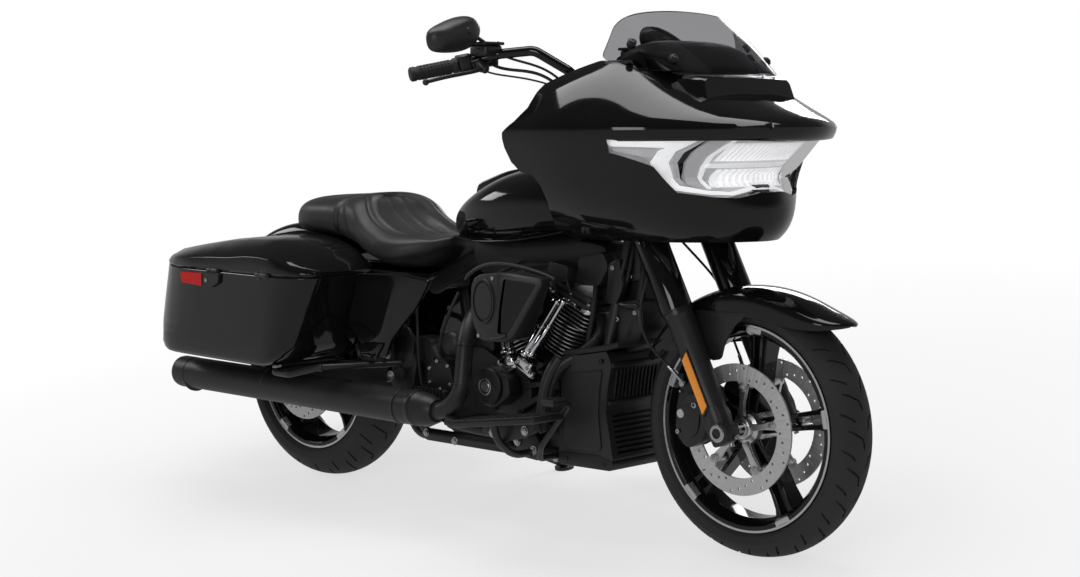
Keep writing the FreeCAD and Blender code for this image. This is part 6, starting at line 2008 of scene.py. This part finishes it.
def lower_frame():
    bm = bmesh.new()
    for side in SIDES:
        side_slab(bm, [(540, 232), (584, 184), (1100, 184), (1096, 200), (600, 204), (562, 246)], side * 128,
                  side * 140, 6, 2)
        side_slab(bm, [(640, 236), (760, 268), (1100, 276), (1106, 214), (1000, 200), (700, 202)], side * 106,
                  side * 122, 8, 2)
        side_slab(bm, [(450, 330), (462, 470), (520, 500), (548, 460), (540, 320), (500, 300)], side * 138,
                  side * 150, 14, 3)
        side_slab(bm,
                  [(1204, 596), (1240, 652), (1290, 660), (1286, 716), (1262, 776), (1236, 770), (1222, 700)],
                  side * 40, side * 48, 10, 2)
        tube(bm, [(1215, side * 60, 601), (1270, side * 84, 596), (1318, side * 84, 598),
                  (1322, side * 84, 552)], 8, 24)
    side_slab(bm, [(1212, 600), (1250, 742), (1284, 746), (1300, 600)], -38, 38, 10, 3)
    side_slab(bm, [(1126, 590), (1132, 640), (1208, 650), (1210, 590)], -34, 34, 10, 3)
    side_slab(bm, [(1206, 600), (1214, 700), (1250, 716), (1262, 640), (1240, 596)], -60, -84, 10, 3)
    side_slab(bm, [(1160, 452), (1180, 500), (1216, 604), (1312, 612), (1324, 540), (1290, 484), (1240, 452)],
              -74, 74, 12, 4)
    piece("frame_brackets", bm, SATIN)
    lines = bmesh.new()
    for k, y in enumerate((-70, -52, 58)):
        hose(lines, [(1262, y * 0.6, 790), (1268 + 8 * k, y - 14, 700), (1246, y - 10, 640 - 20 * k),
                     (1216, y, 560), (1180, y, 500)], 5)
    hose(lines, [(1262, -60, 500), (1286, -80, 540), (1310, -60, 600), (1284, -30, 690)], 9)
    hose(lines, [(1262, 60, 500), (1290, 70, 560), (1308, 40, 640), (1284, 20, 700)], 9)
    piece("neck_hoses", lines, GRIP_RUBBER, smooth=60)
    silver = bmesh.new()
    for x, y, z in ((1262, -50, 668), (1300, -50, 720), (1232, -84, 690), (1240, -76, 560), (1300, -76, 580)):
        cap_bolt(silver, mm(x, y, z), (0, -1, 0), 0.0065)
    for x, z in ((586, 205), (700, 194), (1080, 194)):
        hex_nut(silver, mm(x, -140, z), (0, -1, 0), 0.009, 0.006)
    piece("frame_bolts", silver, FASTENER)


cylinder(1, "cylinder_front")
cylinder(-1, "cylinder_rear")
pushrods()
cam_cover()
air_cleaner()
gearbox()
under_tank()
exhaust()
cowl()
footboards()
lower_frame()


# Bars, controls and mirrors
BAR_END = mm(866, -428, 1180)
BAR_INNER = mm(931, -312, 1206)
BAR_RUN = (BAR_INNER - BAR_END).normalized()
MIRROR_OUTLINE = [(-312, 1286), (-322, 1312), (-352, 1323), (-396, 1316), (-446, 1298), (-474, 1282),
                  (-480, 1262), (-470, 1238), (-438, 1230), (-376, 1234), (-330, 1254)]


def along_bar(distance):
    return BAR_END + BAR_RUN * distance * MM


def grips():
    bm = bmesh.new()
    profile = [(0, -8), (15, -8), (18.5, -5), (18.5, 6), (17, 8)]
    for i in range(10):
        low = 12 + 9 * i
        profile += [(16.6, low), (17.8, low + 1), (17.8, low + 6), (16.6, low + 7)]
    profile += [(17, 104), (20, 108), (20, 115), (14, 117), (0, 117)]
    turned(bm, [(r * MM, d * MM) for r, d in profile], along_bar(0), along_bar(100), 48)
    for i in range(14):
        turn = Matrix.Rotation(2 * math.pi * i / 14, 4, "Z")
        place = line_frame(along_bar(0), along_bar(100)) @ turn
        slab(bm, [place @ mm(17.4, y, d) for y, d in ((-1.3, 14), (1.3, 14), (1.3, 98), (-1.3, 98))],
             place.to_3x3() @ mm(0.9, 0, 0))
    piece("grips", both_sides(bm), GRIP_RUBBER, body="steering", stands_for=["hand_controls"], smooth=40)


def controls():
    place = line_frame(along_bar(0), along_bar(100))
    box = bmesh.new()
    level_slab(box, place, square_outline(25, -24, -25, 23, 11), 119, 150, 3)
    level_slab(box, place, square_outline(23, -22, -24, 22, 10), 150.6, 174, 3)
    level_slab(box, place, square_outline(20, -20, -20, 20, 14), 176, 200, 2)
    rod(box, mm(968, -300, 1212), mm(984, -290, 1192), 0.014, sides=32, edge=0.002)
    block(box, mm(952, -314, 1224), mm(1012, -254, 1252), 0.006, 3)
    block(box, mm(948, -318, 1252), mm(1016, -250, 1260), 0.003, 3)
    block(box, mm(960, -262, 1200), mm(986, -242, 1228), 0.004)
    piece("switch_boxes_and_reservoirs", both_sides(box), SATIN, body="steering")
    lever = bmesh.new()
    hose(lever, [(990, -284, 1196), (984, -306, 1190), (972, -340, 1182), (950, -382, 1174),
                 (934, -412, 1166), (925, -434, 1160)], 5.2, 6)
    ball(lever, mm(924, -437, 1159), 0.0085)
    ball(lever, mm(986, -292, 1192), 0.011)
    piece("hand_levers", both_sides(lever), SATIN, body="steering", smooth=50)
    small = bmesh.new()
    for distance, reach in ((130, 26), (140, 25), (160, 24)):
        spot = along_bar(distance) + mm(-22, 0, 8)
        rod(small, spot, spot + mm(-reach * 0.25, 0, 2), 0.0055, sides=20, edge=0.001)
    for x, y in ((962, -308), (1002, -260)):
        cap_bolt(small, mm(x, y, 1260), (0, 0, 1), 0.0035, 0.0015)
    turned(small, [(0, 0.002), (0.006, 0.002), (0.008, 0), (0, 0)], mm(982, -314, 1238), mm(982, -330, 1238),
           24)
    piece("switch_buttons", both_sides(small), PLASTIC, body="steering")
    bolts = bmesh.new()
    for x, y, z in ((984, -290, 1204), (972, -244, 1214), (958, -304, 1224)):
        cap_bolt(bolts, mm(x, y, z), (0, -0.4, 1), 0.005)
    piece("lever_bolts", both_sides(bolts), FASTENER, body="steering")
    cables = bmesh.new()
    hose(cables, [(1006, -262, 1232), (1040, -256, 1214), (1100, -214, 1206), (1150, -170, 1160),
                  (1200, -120, 1070)], 3.2)
    hose(cables, [(972, -250, 1204), (1030, -262, 1186), (1090, -226, 1196), (1146, -176, 1150),
                  (1196, -124, 1060)], 4)
    hose(cables, [(948, -270, 1196), (1000, -276, 1170), (1060, -250, 1180), (1120, -190, 1150)], 2.4)
    piece("bar_cables", both_sides(cables), GRIP_RUBBER, body="steering", smooth=60)


def mirrors():
    shell = bmesh.new()
    centre = Vector((0, sum(y for y, z in MIRROR_OUTLINE) / 11, sum(z for y, z in MIRROR_OUTLINE) / 11))
    rings = []
    for x, share in ((972, 0.93), (971, 0.985), (974, 1.0), (986, 1.0), (1000, 0.93), (1010, 0.72),
                     (1015, 0.40)):
        rings.append([mm(x, centre.y + (p.y - centre.y) * share, centre.z + (p.z - centre.z) * share)
                      for p in through([(0, y, z) for y, z in MIRROR_OUTLINE], 4, closed=True)])
    loft(shell, rings)
    face_out(shell)
    shell = smoothed(shell, 1)
    piece("mirror_shells", both_sides(shell), SATIN, body="steering", stands_for=["mirrors"], smooth=45)
    glass = bmesh.new()
    outline = [(centre.y + (p.y - centre.y) * 0.92, centre.z + (p.z - centre.z) * 0.92)
               for p in through([(0, y, z) for y, z in MIRROR_OUTLINE], 4, closed=True)]
    slab(glass, [mm(971.4, y, z) for y, z in outline], mm(2, 0, 0))
    piece("mirror_glasses", both_sides(glass), MIRROR_GLASS, body="steering")
    stems = bmesh.new()
    tube(stems, [(986, -282, 1226), (988, -286, 1254), (994, -350, 1282), (1004, -372, 1284)], 5, 18)
    rod(stems, mm(986, -282, 1222), mm(987, -284, 1240), 0.0095, sides=6, edge=0.001)
    ball(stems, mm(1006, -374, 1284), 0.012)
    piece("mirror_stems", both_sides(stems), SATIN, body="steering", smooth=45)


# Dash
def dash_frame():
    """A frame on the rider's side of the inner fairing, x to the rider's right and y up the slope."""
    up = Vector((46, 0, 138)).normalized()
    out = Vector((-up.z, 0, up.x))
    return Matrix.Translation(mm(1353, 0, 1121)) @ Matrix((Vector((0, -1, 0)), up, out)).transposed().to_4x4()


def dash():
    place = dash_frame()
    out = place.to_3x3() @ Vector((0, 0, 1))
    bezels = bmesh.new()
    faces = bmesh.new()
    marks = bmesh.new()
    for x, y, radius in ((-58, 34, 40), (58, 34, 40), (-130, 44, 22), (130, 44, 22)):
        spot = place @ mm(x, y, 0)
        r = radius * MM
        turned(bezels, [(r - 0.004, 0.0), (r - 0.004, 0.007), (r - 0.002, 0.010), (r, 0.008), (r + 0.001, 0)],
               spot, spot + out, 48)
        rod(faces, spot, spot + out * 0.003, r - 0.004, sides=48)
        for i in range(9):
            angle = math.radians(-210 + 30 * i)
            at = spot + place.to_3x3() @ (Vector((math.cos(angle), -math.sin(angle), 0)) * (r - 0.009))
            rod(marks, at + out * 0.003, at + out * 0.0036, 0.0012, sides=8)
        tip = place.to_3x3() @ Vector((-0.6, 0.6, 0)) * (r * 0.9)
        rod(marks, spot + out * 0.0045, spot + tip + out * 0.0045, 0.0009, sides=6)
    level_slab(faces, place, square_outline(92, -92, -60, -10, 6), 0, 4, 1)
    level_slab(bezels, place, square_outline(100, -100, -68, -62, 3), 0, 7, 1)
    for side in SIDES:
        spot = place @ mm(side * 215, -6, 0)
        turned(bezels, [(0.050, 0.0), (0.051, 0.006), (0.056, 0.008), (0.060, 0.0)], spot, spot + out, 48)
        for i in range(7):
            half = math.sqrt(50 ** 2 - (14 * i - 42) ** 2)
            level_slab(bezels, place, [(side * 215 + x, 14 * i + y) for x, y in
                                       ((-half, -50), (half, -50), (half, -46), (-half, -46))], 1, 4)
    piece("dash_bezels", bezels, SATIN)
    piece("dash_faces", faces, GLASS_BLACK)
    piece("dash_marks", marks, DIAL_MARK)
    hood = bmesh.new()
    loft(hood, [superellipse_ring(*section, 0.7, 32) for section in
                through([(1352, 176, 1176, 1216), (1364, 196, 1160, 1244), (1396, 202, 1150, 1256),
                         (1436, 196, 1150, 1250), (1480, 172, 1146, 1222), (1524, 136, 1140, 1182)], 3)])
    piece("dash_hood", hood, PLASTIC, smooth=50)


# Tail
def tail():
    lamp = bmesh.new()
    lens = bmesh.new()
    block(lamp, mm(-438, -58, 560), mm(-392, 58, 600), 0.006, 3)
    block(lens, mm(-446, -52, 565), mm(-436, 52, 595), 0.004, 3)
    for i in range(12):
        block(lens, mm(-448, -48 + 8 * i, 568), mm(-445, -44 + 8 * i, 592), 0.0008)
    plate = bmesh.new()
    sheet = [mm(-458, y, z) for y, z in ((-88, 412), (88, 412), (88, 518), (-88, 518))]
    slab(plate, sheet, mm(-1.2, 0, 0), 0.006, 0.0003)
    bracket = bmesh.new()
    slab(bracket, [mm(-456, y, z) for y, z in ((-90, 410), (90, 410), (90, 520), (-90, 520))], mm(8, 0, 0),
         0.007, 0.001)
    block(bracket, mm(-456, -24, 470), mm(-400, 24, 500), 0.003)
    block(bracket, mm(-440, -50, 496), mm(-408, 50, 562), 0.006)
    rod(bracket, mm(-428, -112, 532), mm(-428, 112, 532), 0.008, sides=24)
    signals = bmesh.new()
    shells = bmesh.new()
    for side in SIDES:
        centre = mm(-428, side * 116, 532)
        turned(shells, [(0, -0.018), (0.014, -0.017), (0.024, -0.008), (0.0265, 0.004), (0.0265, 0.014),
                        (0.024, 0.015)],
               centre, centre - mm(1, 0, 0), 40)
        turned(signals, [(0.0245, 0.012), (0.023, 0.017), (0.016, 0.022), (0, 0.0245)], centre,
               centre - mm(1, 0, 0), 40)
    bolts = bmesh.new()
    for y in (-73, 73):
        cap_bolt(bolts, mm(-459.4, y, 505), (-1, 0, 0), 0.006, 0.003)
    piece("tail_lamp_housing", lamp, PAINT, stands_for=["tail_light"])
    piece("tail_lamp_lens", lens, RED_LENS)
    piece("number_plate", plate, DIAL_MARK)
    piece("plate_bracket", bracket, SATIN)
    piece("rear_signal_shells", shells, PAINT, smooth=45)
    piece("rear_signal_lenses", signals, DARK_LENS, smooth=45)
    piece("plate_bolts", bolts, FASTENER)


# Rear wheel drive, shocks and guards
PULLEY_TEETH = 60


def drive_side():
    teeth = bmesh.new()
    for i in range(PULLEY_TEETH):
        turn = -math.radians(360 * i / PULLEY_TEETH)
        place = Matrix.Translation(REAR_AXLE) @ Matrix.Rotation(turn, 4, "Y")
        level_slab(teeth, place, [(-2.6, 91.5), (2.6, 91.5), (2.6, 112.5), (-2.6, 112.5)], 108, 113, 0.6)
    piece("rear_pulley_teeth", teeth, SATIN, body="rear_wheel")
    cover = bmesh.new()
    ring = bmesh.new()
    for x, z, radius, y in ((745, 335, 66, 208), (930, 324, 40, 197)):
        spot = mm(x, y, z)
        turned(ring, [((radius - 8) * MM, 0), ((radius - 8) * MM, 0.003), ((radius - 6) * MM, 0.0045),
                      (radius * MM, 0.003), ((radius + 1) * MM, -0.002)], spot, spot + mm(0, 10, 0), 64)
        for i in range(6):
            angle = math.radians(30 + 60 * i)
            cap_bolt(cover, spot + mm((radius - 14) * math.cos(angle), 0.5, (radius - 14) * math.sin(angle)),
                     (0, 1, 0), 0.005)
    side_bolts(cover, 195, ((668, 330), (704, 272), (800, 250), (880, 240), (956, 238), (1016, 264),
                            (1046, 320), (1018, 384),
                 (950, 405), (870, 410), (790, 414), (704, 402)), 0.006)
    piece("primary_rings", ring, SATIN)
    piece("primary_bolts", cover, FASTENER)


def shocks_and_guards():
    coils = bmesh.new()
    for side in SIDES:
        low = mm(170, side * 137, 410)
        high = mm(232, side * 137, 566)
        run = high - low
        rod(coils, low + run * 0.02, low + run * 0.10, 0.0215, sides=40, edge=0.001)
        rod(coils, low + run * 0.88, low + run * 0.98, 0.0215, sides=40, edge=0.001)
        for i in range(12):
            rod(coils, low + run * (0.14 + 0.055 * i), low + run * (0.165 + 0.055 * i), 0.0206, sides=40,
                edge=0.002)
    piece("shock_coils", coils, PAINT, smooth=45)
    clamps = bmesh.new()
    for side in SIDES:
        rod(clamps, mm(380, side * 352, 388), mm(392, side * 346, 390), 0.0112, sides=32, edge=0.001)
        rod(clamps, mm(200, side * 160, 366), mm(200, side * 172, 366), 0.0112, sides=32, edge=0.001)
        hex_nut(clamps, mm(0, side * 161, 328), (0, side, 0), 0.017, 0.010)
        rod(clamps, mm(-46, side * 150, 318), mm(-46, side * 158, 318), 0.006, sides=6)
    piece("guard_clamps_and_axle_nuts", clamps, BLACK_FASTENER)
    caliper = bmesh.new()
    side_slab(caliper, [(70, 432), (120, 462), (170, 420), (150, 372), (100, 380)], -88, -122, 12, 4)
    turned(caliper, [(0, 0.005), (0.014, 0.005), (0.016, 0.003), (0.017, 0), (0, 0)], mm(124, -122, 416),
           mm(124, -140, 416), 32)
    piece("rear_caliper_cover", caliper, SATIN)
    spring = bmesh.new()
    a = mm(626, 150, 160)
    b = mm(650, 236, 110)
    place = line_frame(a, b)
    length = (b - a).length / MM
    hose(spring, [tuple((place @ mm(6 * math.cos(i), 6 * math.sin(i), length * i / 94)) / MM)
                  for i in range(95)], 1.2, 2)
    piece("stand_spring", spring, BLACK_FASTENER, body="side_stand", smooth=60)


grips()
controls()
mirrors()
dash()
tail()
drive_side()
shocks_and_guards()


# CAD nodes that show
refinish(CHROME, "front_axle", "rear_axle")
refinish(SATIN, "fork_yokes", "frame", "foot_controls", "swingarm", "side_stand", "bag_guards",
         "radiator_cowl", "rear_pulley", "rear_shocks")
refinish(ENGINE, "crankcase", "primary_cover")
refinish(PAINT, "handlebar")
refinish(PLASTIC, "fairing_inner")
refinish(BELT, "drive_belt")
